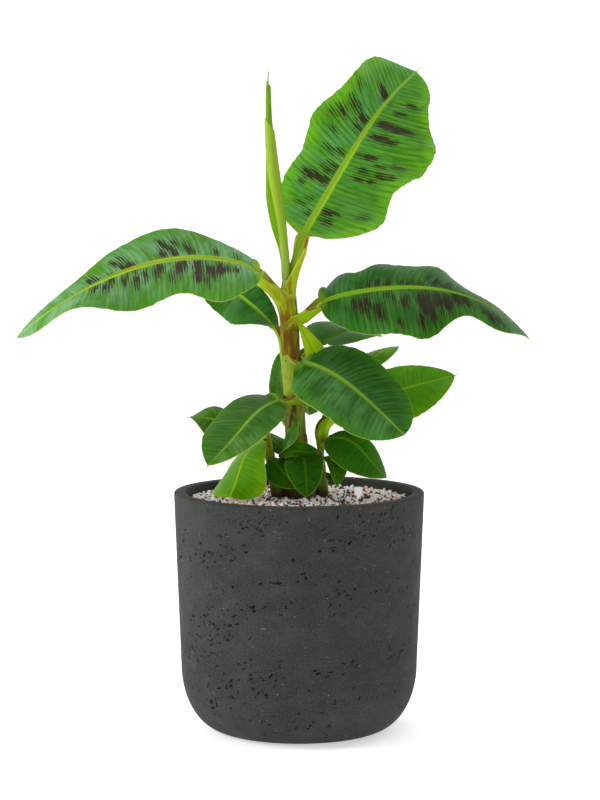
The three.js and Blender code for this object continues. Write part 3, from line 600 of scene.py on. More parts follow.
def build_leaf(name, leaf, seed):
    """The whole leaf as one grid sheet with thickness: returns the piece."""
    # depth of a row, columns in each half, then the pleats' spacing and depth
    if leaf["length"] > 200:
        row, half, spacing, deep = 1.12, 30, 7.5, 0.42
    elif leaf["length"] > 90:
        row, half, spacing, deep = 1.25, 20, 6.0, 0.14
    else:
        row, half, spacing, deep = 1.1, 14, 6.0, 0.14
    if name == "pale_leaf":
        deep = 0.0
    sink = SHEATHS[name][6] if name in SHEATHS else 0
    rings = leaf_rings(name, leaf, int(leaf["length"] / row))
    random.seed(seed)
    tones = [(random.uniform(0.010, 0.035), random.uniform(0, TURN)) for _ in range(4)]
    count = len(rings)
    points = np.zeros((count, 2 * half + 1, 3))
    place = np.zeros((count, 2 * half + 1, 3))
    zone = np.zeros((count, 2 * half + 1, 3))
    weight = np.zeros((count, 2 * half + 1))
    steps = np.arange(half + 1)
    for j, ring in enumerate(rings):
        for side, sign in ((0, -1), (1, 1)):
            uneven = sum(math.sin(ring["far"] * f * 3 * TURN + p + side) for f, p in tones) / 4
            wide = ring["wide"][side] * (1 + (UNEVEN * uneven - 0.5 * UNEVEN if ring["t"] > 0 else 0))
            rib = min(ring["rib"], 0.45 * wide)
            a = np.where(steps <= RIB_COLUMNS, rib * steps / RIB_COLUMNS,
                         rib + (wide - rib) * (steps - RIB_COLUMNS) / (half - RIB_COLUMNS))
            s = a / wide
            curl = max(math.radians(ring["curl"]), 1e-4)
            turned = math.radians(ring["fold"][side]) + 0.5 * curl * s
            chord = wide * np.sin(0.5 * curl * s) / (0.5 * curl)
            number, high, start = leaf["waves"]
            ripple = math.sin(TURN * (number * ring["t"] + start + (0 if side else 0.37)))
            wave = high * wide * ripple * s ** 1.6 * math.sqrt(max(math.sin(math.pi * ring["t"]), 0))
            hang = (1 - ring["stalk"]) * leaf["cup"] * wide * s * s
            back = 0 * s
            if ring["t"] > 0:
                back = wide * s * s * (leaf["reach"] * ring["t"] - leaf["lobe"] * (1 - ring["t"]) ** 6)
            vein = vein_start(a, ring["far"], leaf)
            blade = (1 - ring["stalk"]) * np.clip((a - rib) / 4, 0, 1) * np.clip((wide - a) / 8, 0, 1)
            slow = sum(np.sin(vein * f * TURN + p) for f, p in tones) / 4
            pleat = (0.5 + 0.5 * slow) * np.cos(TURN * vein / spacing) * blade * deep
            dip = 0.5 * ring["rib"] * np.where(a < rib, np.cos(0.5 * math.pi * a / rib) ** 2, 0)
            dip *= 1 - ring["stalk"]
            swell = slow * blade * 0.5 * s
            lean = turned + 0.5 * curl * s
            normal = np.outer(np.cos(lean), ring["out"]) - sign * np.outer(np.sin(lean), ring["across"])
            at = ring["at"] + sign * np.outer(chord * np.cos(turned), ring["across"])
            at = at + np.outer(chord * np.sin(turned) - hang + wave, ring["out"])
            at = at + np.outer(back, ring["forward"])
            if ring["t"] > 0 or ring["far"] == 0:
                low = sink * max(1 - ring["t"] / 0.08, 0) ** 3
                share = ring["stalk"] + (1 - ring["stalk"]) * np.clip(1 - (a / 28) ** 2, 0, 1)
                at = at - np.outer(low * share, (0, 0, 1))
            at = at + normal * (BLADE / 2 + pleat + swell - dip)[:, None]
            columns = half - steps if side else half + steps
            points[j, columns] = at
            place[j, columns, 0] = sign * a * MM
            place[j, columns, 1] = vein * MM
            place[j, columns, 2] = ring["t"]
            zone[j, columns, 0] = np.maximum(np.clip((rib * 1.02 - a) / (0.16 * rib), 0, 1), ring["stalk"])
            zone[j, columns, 1] = (wide - a) * MM
            zone[j, columns, 2] = ring["sheath"]
            fleshy = np.clip(1 - (a / (rib * 1.25)) ** 2, 0, 1) ** 0.5
            keel = mix(BLADE, 1.25 * ring["rib"] + 0.6, 1 - 0.6 * ring["t"])
            if ring["stalk"] > 0.99:
                open_stalk = 1 - ring["sheath"]
                fleshy = np.sqrt(np.maximum(1 - (s * 0.98) ** 2, 0)) * open_stalk
                keel = mix(2.0, 0.9 * leaf["stalk"][1] + 1, open_stalk)
            weight[j, columns] = BLADE + max(keel - BLADE, 0) * fleshy
    piece, up, across = sheet_of(name + "_sheet", 2 * half, count - 1, points)
    add_layer(piece, "leaf_place", place[up, across])
    add_layer(piece, "leaf_zone", zone[up, across])
    spots = np.zeros(len(up))
    here = place[up, across]
    for at, off, strength in SPOTS.get(name, ()):
        gap = ((here[:, 1] / MM - at * leaf["length"]) / (3 + 3 * strength)) ** 2
        gap += ((here[:, 0] / MM - off) / (5 + 8 * strength)) ** 2
        spots = np.maximum(spots, strength * np.exp(-gap))
    add_layer(piece, "leaf_spots", spots)
    thickest = weight.max()
    group = piece.vertex_groups.new(name="thickness")
    for index, value in enumerate(weight[up, across]):
        group.add([index], float(value / thickest), "REPLACE")
    solid = piece.modifiers.new("thickness", "SOLIDIFY")
    solid.thickness = thickest * MM
    solid.offset = -1
    solid.vertex_group = "thickness"
    solid.use_even_offset = False
    solid.material_offset = 1
    solid.material_offset_rim = 0
    return piece


# ---------- finishes ----------
def put(tree, kind, inputs=None, **settings):
    """Adds one node with its settings; an input takes a value or another node's output."""
    node = tree.nodes.new(kind)
    for key, value in settings.items():
        setattr(node, key, value)
    for key, value in (inputs or {}).items():
        socket = node.inputs[key]
        if isinstance(value, bpy.types.NodeSocket):
            tree.links.new(value, socket)
        elif isinstance(value, str):
            socket.default_value = linear(value)
        else:
            socket.default_value = value
    return node


class Coat:
    """One finish in the making, with the few steps that all the finishes are built from."""

    def __init__(self, name, roughness, specular=0.5):
        self.material = bpy.data.materials.new(name)
        self.material.use_nodes = True
        self.tree = self.material.node_tree
        self.inputs = self.tree.nodes["Principled BSDF"].inputs
        self.inputs["Roughness"].default_value = roughness
        self.inputs["Specular IOR Level"].default_value = specular

    def attribute(self, name, output="Vector"):
        return put(self.tree, "ShaderNodeAttribute", attribute_name=name).outputs[output]

    def place(self):
        return put(self.tree, "ShaderNodeTexCoord").outputs["Object"]

    def parts(self, vector):
        return put(self.tree, "ShaderNodeSeparateXYZ", {0: vector}).outputs

    def shifted(self, vector, seed):
        aside = {0: vector, 1: (seed, seed, 0)}
        return put(self.tree, "ShaderNodeVectorMath", aside, operation="ADD").outputs[0]

    def math(self, operation, *values):
        return put(self.tree, "ShaderNodeMath", dict(enumerate(values)), operation=operation).outputs[0]

    def times(self, a, b):
        return self.math("MULTIPLY", a, b)

    def noise(self, at, scale, detail=3.0, rough=0.5):
        """Clouded noise from 0 to 1; scale counts per metre, for each direction where it holds three."""
        if isinstance(scale, tuple):
            spread = {0: at, 1: scale}
            at = put(self.tree, "ShaderNodeVectorMath", spread, operation="MULTIPLY").outputs[0]
            scale = 1.0
        return put(self.tree, "ShaderNodeTexNoise", {"Vector": at, "Scale": scale, "Detail": detail,
                   "Roughness": rough}).outputs["Fac"]

    def span(self, value, low, high, to=(0.0, 1.0), kind="LINEAR"):
        """Where a value lies from low to high, laid out between the two ends of to."""
        return put(self.tree, "ShaderNodeMapRange", {"Value": value, "From Min": low, "From Max": high,
                   "To Min": to[0], "To Max": to[1]}, interpolation_type=kind).outputs[0]

    def blend(self, share, a, b):
        return put(self.tree, "ShaderNodeMix", {"Factor": share, 6: a, 7: b}, data_type="RGBA").outputs[2]

    def done(self, colour, height, strength, distance):
        """Joins the colour and a bump of that height to the shader; returns the material."""
        self.tree.links.new(colour, self.inputs["Base Color"])
        relief = {"Height": height, "Strength": strength, "Distance": distance}
        bump = put(self.tree, "ShaderNodeBump", relief)
        self.tree.links.new(bump.outputs[0], self.inputs["Normal"])
        return self.material


def leaf_finish(name, mid, rim, sheen_colour, mottle_and_crease_shade, rib, stalk, spacing=7.5, seed=0.0, pale=0.12, mottle=0.5,
                lean=(1.0, 1.0), sheath="#7c7d12", blotch="#2e1c0a", stain="#5a3414", gloss=0.2, pleats=0.35):
    """Banana leaf, upper face: a waxed living skin. Fine pale lines follow the side veins from the midrib
    to the margin; painted shade darkens the creases between the pleats and a painted highlight lightens
    their ridges; a painted sheen, the blue-green reflection of the wax, lies near the midrib; the thin hem
    and the midrib are yellow-green. lean is each half's share of the painted sheen, right then left."""
    coat = Coat(name, 0.42, gloss)
    times, blend = coat.times, coat.blend
    at = coat.attribute("leaf_place")
    apart = coat.shifted(at, seed)
    off, vein, reached = coat.parts(at)
    ribbed, edge, wrapped = coat.parts(coat.attribute("leaf_zone"))
    spots = coat.attribute("leaf_spots", "Fac")

    def noise(across, lengthways, detail=2.0, rough=0.5):
        return coat.noise(apart, (across, lengthways, 0), detail, rough)

    def span(value, low, high, to=(0.0, 1.0)):
        return coat.span(value, low, high, to, "SMOOTHSTEP")

    cycle = coat.math("MULTIPLY_ADD", vein, TURN / (spacing * MM), math.pi)
    wave = coat.math("COSINE", cycle)
    # painted shade in the creases of the pleats along the side veins; its colour also serves the mottle
    crease_shade = times(span(wave, 0.45, 1.0), span(noise(14, 60), 0.3, 0.55))
    crease_shade = times(crease_shade, span(edge, 0.003, 0.035, (0.25, 1.0)))
    # painted highlight on the ridges of the pleats, in the midrib's colour
    ridge_highlight = times(span(wave, 0.1, -0.9), span(noise(22, 90), 0.42, 0.66))
    # side veins lie 1.3 mm apart on a leaf this size
    threads = noise(9, 760, 1.0)
    broad = noise(28, 42, 3.0)
    body = blend(span(edge, 0.026, 0.002), mid, rim)
    # painted sheen: the blue-green reflection of the wax near the midrib, on each half by its share in lean
    painted_sheen = times(span(broad, 0.36, 0.64), span(coat.math("ABSOLUTE", off), 0.07, 0.012, (0.1, 0.95)))
    body = blend(times(span(off, -0.006, 0.006, lean), painted_sheen), body, sheen_colour)
    body = blend(times(span(noise(60, 240, 3.0), 0.48, 0.7), mottle), body, mottle_and_crease_shade)
    body = blend(times(ridge_highlight, 0.42 * pleats), body, rib)
    body = blend(times(crease_shade, pleats), body, mottle_and_crease_shade)
    body = blend(times(span(threads, 0.56, 0.75), pale), body, "#a9c870")
    # blotches: cut to strips by the pleats and frayed, brown-black within a stained rim
    ragged = noise(60, 620, 3.0, 0.6)
    mark = coat.math("ADD", coat.math("MULTIPLY_ADD", ragged, 2.4, -1.12), spots)
    mark = coat.math("MULTIPLY_ADD", coat.math("COSINE", times(cycle, 2.0)), 0.24, mark)
    spotted = span(spots, 0.03, 0.12)
    body = blend(times(times(span(mark, 0.3, 0.5), spotted), 0.55), body, "#3f4a12")
    body = blend(times(times(span(mark, 0.46, 0.56), spotted), 0.9), body, blotch)
    body = blend(span(edge, 0.0007, 0.0003, (0.0, 0.8)), body, "#a9b84a")
    # midrib and stalk, then the skin and the dry free margin of the sheath
    cord = blend(span(noise(700, 9, 1.0), 0.35, 0.65), rib, stalk)
    skin = blend(times(span(noise(90, 26, 4.0), 0.44, 0.60), wrapped), stalk, sheath)
    skin = blend(times(span(noise(150, 34, 4.0), 0.53, 0.62), wrapped), skin, stain)
    cord = blend(wrapped, cord, skin)
    dried = times(span(edge, 0.0016, 0.0008, (0.0, 0.75)), span(reached, 0.01, 0.0))
    cord = blend(dried, cord, "#a8803a")
    coat.tree.links.new(span(broad, 0.3, 0.7, (0.36, 0.52)), coat.inputs["Roughness"])
    lift = times(coat.math("MULTIPLY_ADD", threads, 0.5, ragged), coat.math("SUBTRACT", 1.0, ribbed))
    return coat.done(blend(ribbed, body, cord), lift, 0.35, 0.6 * MM)


def underside_finish(name, body="#467430", rib="#76a034", fresh="#7f8c16", old="#65480f", share=(0.46, 0.6)):
    """Banana leaf, lower face: paler and matt with wax, the veins showing as fine light lines.
    On a sheath it goes from fresh to old, share giving where in the noise that lies."""
    coat = Coat(name, 0.6, 0.1)
    noise, span, blend = coat.noise, coat.span, coat.blend
    at = coat.attribute("leaf_place")
    ribbed, edge, wrapped = coat.parts(coat.attribute("leaf_zone"))
    threads = noise(at, (9, 760, 0), 1.0)
    cloud = noise(at, (30, 40, 0))
    base = blend(cloud, body, "#5c8c44")
    base = blend(span(threads, 0.5, 0.8, (0.0, 0.22)), base, "#9cb872")
    down = span(coat.parts(at)[1], -0.05, -0.11, (0.0, 0.1))
    brown = coat.math("ADD", noise(at, (150, 34, 0), 4.0), down)
    skin = blend(span(brown, *share), fresh, old)
    stalk = blend(coat.math("POWER", wrapped, 0.5), rib, skin)
    # the free edge of a sheath dries to a thin yellow and rust-red line
    dry = blend(span(cloud, 0.47, 0.56), "#ccc83a", "#94482c")
    stalk = blend(span(edge, 0.0016, 0.0007), stalk, dry)
    return coat.done(blend(ribbed, base, stalk), threads, 0.3, 0.6 * MM)


def stem_finish(name, fresh, old, stain, seed, top):
    """Banana sheath skin: smooth and fleshy, yellow-green to olive, with brown streaks that run up the stem
    where old sheaths have dried, a pale band at its top that is painted light against the shade there, and
    dark at its foot."""
    coat = Coat(name, 0.45, 0.2)
    noise, span, blend = coat.noise, coat.span, coat.blend
    at = coat.place()
    apart = coat.shifted(at, seed)
    high = coat.parts(at)[2]
    colour = blend(span(noise(apart, (90, 90, 14), 4.0), 0.42, 0.6), fresh, old)
    colour = blend(span(noise(apart, (170, 170, 30), 4.0), 0.52, 0.64), colour, stain)
    # painted light: a pale band below the top lifts the shade that the spear and the leaves cast there
    colour = blend(span(high, top - 0.03, top - 0.015), colour, "#bcd44a")
    colour = blend(span(high, 0.350, 0.320), colour, "#33290b")
    return coat.done(colour, noise(apart, (600, 600, 10), 4.0), 0.4, 0.6 * MM)


def concrete_finish():
    """Fibre concrete, cast and left raw: charcoal through and through, matt, clouded where the
    mix settled, with air holes a millimetre or two wide, their shade painted black, and a few fine pale
    scratches."""
    coat = Coat("fibre_concrete", 0.8, 0.15)
    span, blend, times = coat.span, coat.blend, coat.times
    at = coat.place()

    def noise(scale, detail=3.0):
        return coat.noise(at, scale, detail)

    colour = blend(span(noise((9, 9, 13)), 0.36, 0.64), "#282e30", "#373733")
    colour = blend(span(noise((34, 34, 44), 4.0), 0.45, 0.7, (0, 0.55)), colour, "#454541")
    grain = noise((620, 620, 620))
    colour = blend(span(grain, 0.35, 0.7, (0, 0.5)), colour, "#4f4f4b")
    colour = blend(span(grain, 0.5, 0.3, (0, 0.5)), colour, "#262827")
    scratch = span(noise((130, 130, 260), 4.0), 0.66, 0.72, (0, 0.4))
    colour = blend(times(scratch, span(noise((20, 20, 20)), 0.5, 0.6)), colour, "#8d8c86")
    # the holes are 1 to 4 mm wide, lie nearly level and come in drifts; their shade is painted near-black,
    # and the pinholes are that painted shade with only a bump under it
    hole_shade = coat.math("MULTIPLY_ADD", coat.attribute("hole_shade_drift", "Fac"), 0.62, noise((380, 380, 600), 2.0))
    pinhole_shade = span(noise((480, 480, 620), 1.0), 0.725, 0.745)
    hole_shade = coat.math("MAXIMUM", span(hole_shade, 0.83, 0.855), pinhole_shade)
    colour = blend(hole_shade, colour, "#050606")
    colour = blend(span(noise((300, 300, 300), 1.0), 0.785, 0.805, (0, 0.7)), colour, "#a3a29c")
    return coat.done(colour, coat.math("SUBTRACT", times(grain, 0.6), hole_shade), 0.85, 1.6 * MM)


def stone_finish(name, light, dark, fleck):
    """Crushed pumice and lava grit: dusty, matt, each stone its own tone with darker pores."""
    coat = Coat(name, 0.9, 0.25)
    pores = coat.noise(coat.place(), 900.0)
    colour = coat.blend(coat.attribute("tone", "Fac"), light, dark)
    colour = coat.blend(coat.span(pores, 0.5, 0.75, (0.0, 0.45)), colour, fleck)
    # a faint glow makes up for the shade that the pot's wall casts on the grit under these lights
    coat.tree.links.new(colour, coat.inputs["Emission Color"])
    coat.inputs["Emission Strength"].default_value = GRIT_GLOW
    return coat.done(colour, pores, 0.5, 0.5 * MM)


def plain_finish(name, colour, other, roughness, scale, specular=0.5, glow=None):
    """Moulded, painted or dried surface of one colour with the slight clouding that handling
    gives; glow is a colour and how strongly it shines."""
    coat = Coat(name, roughness, specular)
    if glow:
        coat.inputs["Emission Color"].default_value = linear(glow[0])
        coat.inputs["Emission Strength"].default_value = glow[1]
    cloud = coat.noise(coat.place(), scale)
    return coat.done(coat.blend(cloud, colour, other), cloud, 0.1, 0.4 * MM)


# ---------- pot ----------
def pot_profile():
    """Radius and height of each ring, from the underside round the foot, over the rim and down inside."""
    inner = POT_RIM_RADIUS - POT_WALL
    rings = [(18, 0), (45, 0), (75, 0), (95, 0), (103, 0)]
    steps = 26
    for k in range(steps + 1):
        a = math.pi / 2 * k / steps
        rings.append((POT_WALL_RADIUS - POT_FOOT_WIDE * (1 - math.sin(a)), POT_FOOT_HIGH * (1 - math.cos(a))))
    steps = 112
    for k in range(1, steps + 1):
        rings.append((mix(POT_WALL_RADIUS, POT_RIM_RADIUS, k / steps),
                      mix(POT_FOOT_HIGH, POT_HEIGHT - POT_EDGE, k / steps)))
    corner = [math.pi / 2 * k / 4 for k in range(1, 5)]
    for a in corner:
        rings.append((POT_RIM_RADIUS - POT_EDGE * (1 - math.cos(a)),
                      POT_HEIGHT - POT_EDGE * (1 - math.sin(a))))
    for f in (0.25, 0.5, 0.75, 1.0):
        rings.append((mix(POT_RIM_RADIUS - POT_EDGE, inner + POT_EDGE, f), POT_HEIGHT))
    for a in corner:
        rings.append((inner + POT_EDGE * (1 - math.sin(a)), POT_HEIGHT - POT_EDGE * (1 - math.cos(a))))
    for k in range(1, 9):
        rings.append((inner - 0.1 * k, POT_HEIGHT - POT_EDGE - 5 * k))
    rings += [(POT_WALL_RADIUS - POT_WALL, POT_FOOT_HIGH), (POT_WALL_RADIUS - POT_WALL - 30, POT_FLOOR + 10),
              (POT_WALL_RADIUS - POT_WALL - 50, POT_FLOOR), (40, POT_FLOOR)]
    return rings


def build_pot():
    rings = pot_profile()
    pot = stack_of("pot_shell", POT_SIDES, len(rings) - 1)
    shape_stack(pot, lambda angle, ring: on_circle(angle, *rings[ring]))
    # air holes: short hollows that lie nearly level, in drifts, pressed into the outer wall and the rim
    random.seed(11)
    drifts = [(random.uniform(0, TURN), random.uniform(24, 316), random.uniform(0.3, 1))
              for _ in range(POT_DRIFTS)]
    co = np.zeros(len(pot.data.vertices) * 3)
    pot.data.vertices.foreach_get("co", co)
    co = co.reshape(-1, 3) / MM
    radius = np.hypot(co[:, 0], co[:, 1])
    turn = np.arctan2(co[:, 1], co[:, 0]) % TURN
    outside = radius > POT_RIM_RADIUS - POT_WALL + 2
    outside |= (co[:, 2] < POT_FOOT_HIGH) & (radius > 104)
    push = np.zeros(len(co))
    # dark: how strongly the painted shade of each hole shows, for the finish to read
    dark = np.zeros(len(co))
    for _ in range(POT_PITS):
        at, high, full = random.choice(drifts)
        aside, lift = random.gauss(0, DRIFT_WIDE), random.gauss(0, DRIFT_HIGH)
        at, high = at + aside / POT_WALL_RADIUS, high + lift + DRIFT_SLOPE * aside
        wide, tall, deep = random.uniform(1.2, 3.0), random.uniform(1.1, 1.7), full * random.uniform(0.4, 1.3)
        if not 6 < high < POT_HEIGHT - POT_EDGE:
            continue
        apart = ((turn - at + math.pi) % TURN - math.pi) * radius
        slant = co[:, 2] - high - DRIFT_SLOPE * apart
        near = (apart / wide) ** 2 + (slant / tall) ** 2
        push = np.maximum(push, np.where(outside, deep * np.exp(-near * 1.3), 0))
        dark = np.maximum(dark, np.where(outside, (0.45 + 0.4 * deep) * np.exp(-near * 0.35), 0))
    shrink = np.where(radius > 1, 1 - push / np.maximum(radius, 1), 1)
    co[:, 0] *= shrink
    co[:, 1] *= shrink
    pot.data.vertices.foreach_set("co", (co * MM).ravel())
    add_layer(pot, "hole_shade_drift", np.minimum(dark, 1))
    pot.data.update()
    return pot


# ---------- grit ----------
def build_grit():
    """Loose stones of three sorts, each its own lumpy turn of one rounded cube, over a smooth bed."""
    start_alone()
    bpy.ops.mesh.primitive_cube_add(size=1)
    seed_stone = bpy.context.object
    bpy.ops.object.mode_set(mode="EDIT")
    bpy.ops.mesh.select_all(action="SELECT")
    bpy.ops.mesh.subdivide(number_cuts=1, smoothness=1.0)
    bpy.ops.object.mode_set(mode="OBJECT")
    body = np.array([v.co[:] for v in seed_stone.data.vertices])
    body /= np.linalg.norm(body, axis=1).max()
    faces = np.array([p.vertices[:] for p in seed_stone.data.polygons])
    bpy.data.objects.remove(seed_stone)
    random.seed(5)
    rng = np.random.default_rng(5)
    reach = POT_RIM_RADIUS - POT_WALL - 2.2
    places = []
    rows = int(reach / ROW_STEP) + 1
    for layer, drop in ((0, 0.0), (1, 3.0)):
        for r in range(-rows, rows + 1):
            for c in range(-rows - 8, rows + 9):
                x = (c + 0.5 * (r % 2) + 0.5 * layer) * STONE_STEP
                y = (r + 0.33 * layer) * ROW_STEP
                far = math.hypot(x, y)
                if far < reach - STONE * 0.45:
                    places.append((x, y, drop, far))
                # loose stones that ride on the others
                if layer == 0 and far < reach - STONE and (7 * r + 5 * c) % 4 == 0:
                    places.append((x + 1.5, y + 1.2, -2.6, far))
    sorts = {kind: [] for kind in STONE_SHARES}
    for x, y, drop, far in places:
        kind = random.choices(list(STONE_SHARES), list(STONE_SHARES.values()))[0]
        sorts[kind].append((x + random.uniform(-1, 1), y + random.uniform(-1, 1), drop, far))
    pieces = []
    for kind, spots in sorts.items():
        count = len(spots)
        points = np.zeros((count, len(body), 3))
        tone = np.zeros(points.shape[:2])
        for k, (x, y, drop, far) in enumerate(spots):
            size = rng.uniform(0.36, 0.6, 3) * STONE
            turn = np.linalg.qr(rng.normal(size=(3, 3)))[0]
            if np.linalg.det(turn) < 0:
                turn[:, 0] *= -1
            lumpy = body * rng.uniform(0.82, 1.08, (len(body), 1))
            high = GRIT_TOP + GRIT_CROWN * max(0, 1 - far / reach) - 1.6 - drop + rng.uniform(-1.2, 1.4)
            points[k] = (lumpy * size) @ turn.T + (x, y, high)
            tone[k] = rng.uniform(0, 1)
        mesh = bpy.data.meshes.new("grit_" + kind)
        index = (faces[None] + (np.arange(count) * len(body))[:, None, None]).reshape(-1, 4)
        mesh.from_pydata((points.reshape(-1, 3) * MM).tolist(), [], index.tolist())
        piece = bpy.data.objects.new("grit_" + kind, mesh)
        add_layer(piece, "tone", tone.ravel())
        bpy.context.scene.collection.objects.link(piece)
        pieces.append(piece)
    foot, wall = POT_WALL_RADIUS - POT_WALL, POT_RIM_RADIUS - POT_WALL
    bed_rings = [
        (60, POT_FLOOR + 0.3), (foot - 51, POT_FLOOR + 0.3), (foot - 31, POT_FLOOR + 10.3),
        (foot - 0.6, POT_FOOT_HIGH), (wall - 1.6, GRIT_TOP - 3.5), (110, GRIT_TOP - 2.6),
        (60, GRIT_TOP - 2), (24, GRIT_TOP - 1.6),
    ]
    bed = stack_of("grit_underlayer", 96, len(bed_rings) - 1)
    shape_stack(bed, lambda angle, ring: on_circle(angle, *bed_rings[ring]))
    return pieces, bed


# ---------- stems ----------
def build_stem(name, stem, sides, rings, scars=()):
    """Round stem of wrapped sheaths: a shallow rib up it, a step where an old sheath ends."""
    piece = stack_of(name + "_skin", sides, rings)

    def place(angle, ring):
        u = ring / rings
        z = mix(stem["from"], stem["to"], u)
        radius = along(stem["radius"], u)
        for high, deep, tilt, at in scars:
            edge = high + tilt * math.cos(angle - at)
            radius += deep * (1 - ease((z - edge + 0.8) / 1.6)) * ease((edge - z + 40) / 40)
        radius += 0.16 * math.sin(9 * angle + 0.02 * z) + 0.10 * math.sin(17 * angle - 0.05 * z)
        if stem["to"] - z < 24 and name == "pseudostem":
            radius -= 3.4 * ease(1 - (stem["to"] - z) / 24)
        if ring == rings:
            radius -= 0.6
        out_x, out_y, _ = on_circle(angle, radius, z)
        return along(stem["x"], u) + out_x, along(stem["y"], u) + out_y, z

    shape_stack(piece, place)
    return piece


# ---------- spear ----------
def rolled(name, line, turns, begin, top, outer, deep=1.0, rows=130, columns=72):
    """A sheet rolled round an upright line, deep giving its depth from front to back: begin is the
    angle of its free margin, top(angle) how far up it reaches."""
    points = np.zeros((rows + 1, columns + 1, 3))
    place = np.zeros_like(points)
    zone = np.zeros_like(points)
    for j in range(rows + 1):
        for i in range(columns + 1):
            f = i / columns
            u = top(begin + TURN * turns * f) * j / rows
            x, radius = along(line["x"], u), along(line["radius"], u)
            turn = begin + TURN * turns * f
            r = max(radius + outer * min(1, radius / 6) - 0.55 * f * min(1, radius / 6), 0.3)
            points[j, columns - i] = (x + r * math.cos(turn), deep * r * math.sin(turn),
                                      mix(SPEAR["from"], SPEAR["to"], u))
            place[j, columns - i] = (u * 0.287, f * turns * TURN * radius * MM, 0.5)
            zone[j, columns - i] = (0, f * turns * TURN * radius * MM, 0)
    piece, up, across = sheet_of(name, columns, rows, points)
    add_layer(piece, "leaf_place", place[up, across])
    add_layer(piece, "leaf_zone", zone[up, across])
    solid = piece.modifiers.new("thickness", "SOLIDIFY")
    solid.thickness = 0.5 * MM
    solid.offset = -1
    return piece


# ---------- threads at the leaf tips ----------
def tip_thread(name, points, radius):
    """Dry thread that ends a young leaf: a thin tube drawn to a point."""
    rings = 14
    piece = stack_of(name, 8, rings)

    def spot(u):
        return np.array([along(line, u) for line in zip(*points)])

    def place(angle, ring):
        u = ring / rings
        at = spot(u)
        ahead = unit(spot(min(u + 0.02, 1)) - spot(max(u - 0.02, 0)))
        side = unit(np.cross(ahead, (0.3, 1, 0.2)))
        other = np.cross(ahead, side)
        r = radius * (1 - 0.85 * u)
        return at + side * r * math.cos(angle) + other * r * math.sin(angle)

    shape_stack(piece, place)
    face_outwards(piece)
    return piece


# ---------- label ----------
def build_label():
    """Blank push-in plant label: a plate with a short stake, its edges softened."""
    start_alone()
    low = GRIT_TOP + GRIT_CROWN + 0.3
    x, y = LABEL_AT
    bpy.ops.mesh.primitive_cube_add(size=MM, location=(x * MM, y * MM, (low + 11) * MM),
                                    scale=(LABEL_WIDE, LABEL_THICK, LABEL_HIGH - 6))
    piece = bpy.context.object
    piece.name = piece.data.name = "label_blank"
    bpy.ops.object.transform_apply(location=True, rotation=True, scale=True)
    pick(piece)
    bpy.ops.object.mode_set(mode="EDIT")
    bpy.ops.mesh.select_all(action="DESELECT")
    bpy.ops.object.mode_set(mode="OBJECT")
    for face in piece.data.polygons:
        face.select = face.normal.z < -0.9
    bpy.ops.object.mode_set(mode="EDIT")
    share = LABEL_STAKE / LABEL_WIDE
    bpy.ops.mesh.extrude_region_move(TRANSFORM_OT_translate={"value": (0, 0, -2 * MM)})
    bpy.ops.transform.resize(value=(share, 1, 1), center_override=(x * MM, y * MM, (low + 4) * MM))
    bpy.ops.mesh.extrude_region_move(TRANSFORM_OT_translate={"value": (0, 0, -4 * MM)})
    bpy.ops.object.mode_set(mode="OBJECT")
    bevel = piece.modifiers.new("edges", "BEVEL")
    bevel.width = 0.25 * MM
    bevel.segments = 2
    apply_all(piece)
    return piece


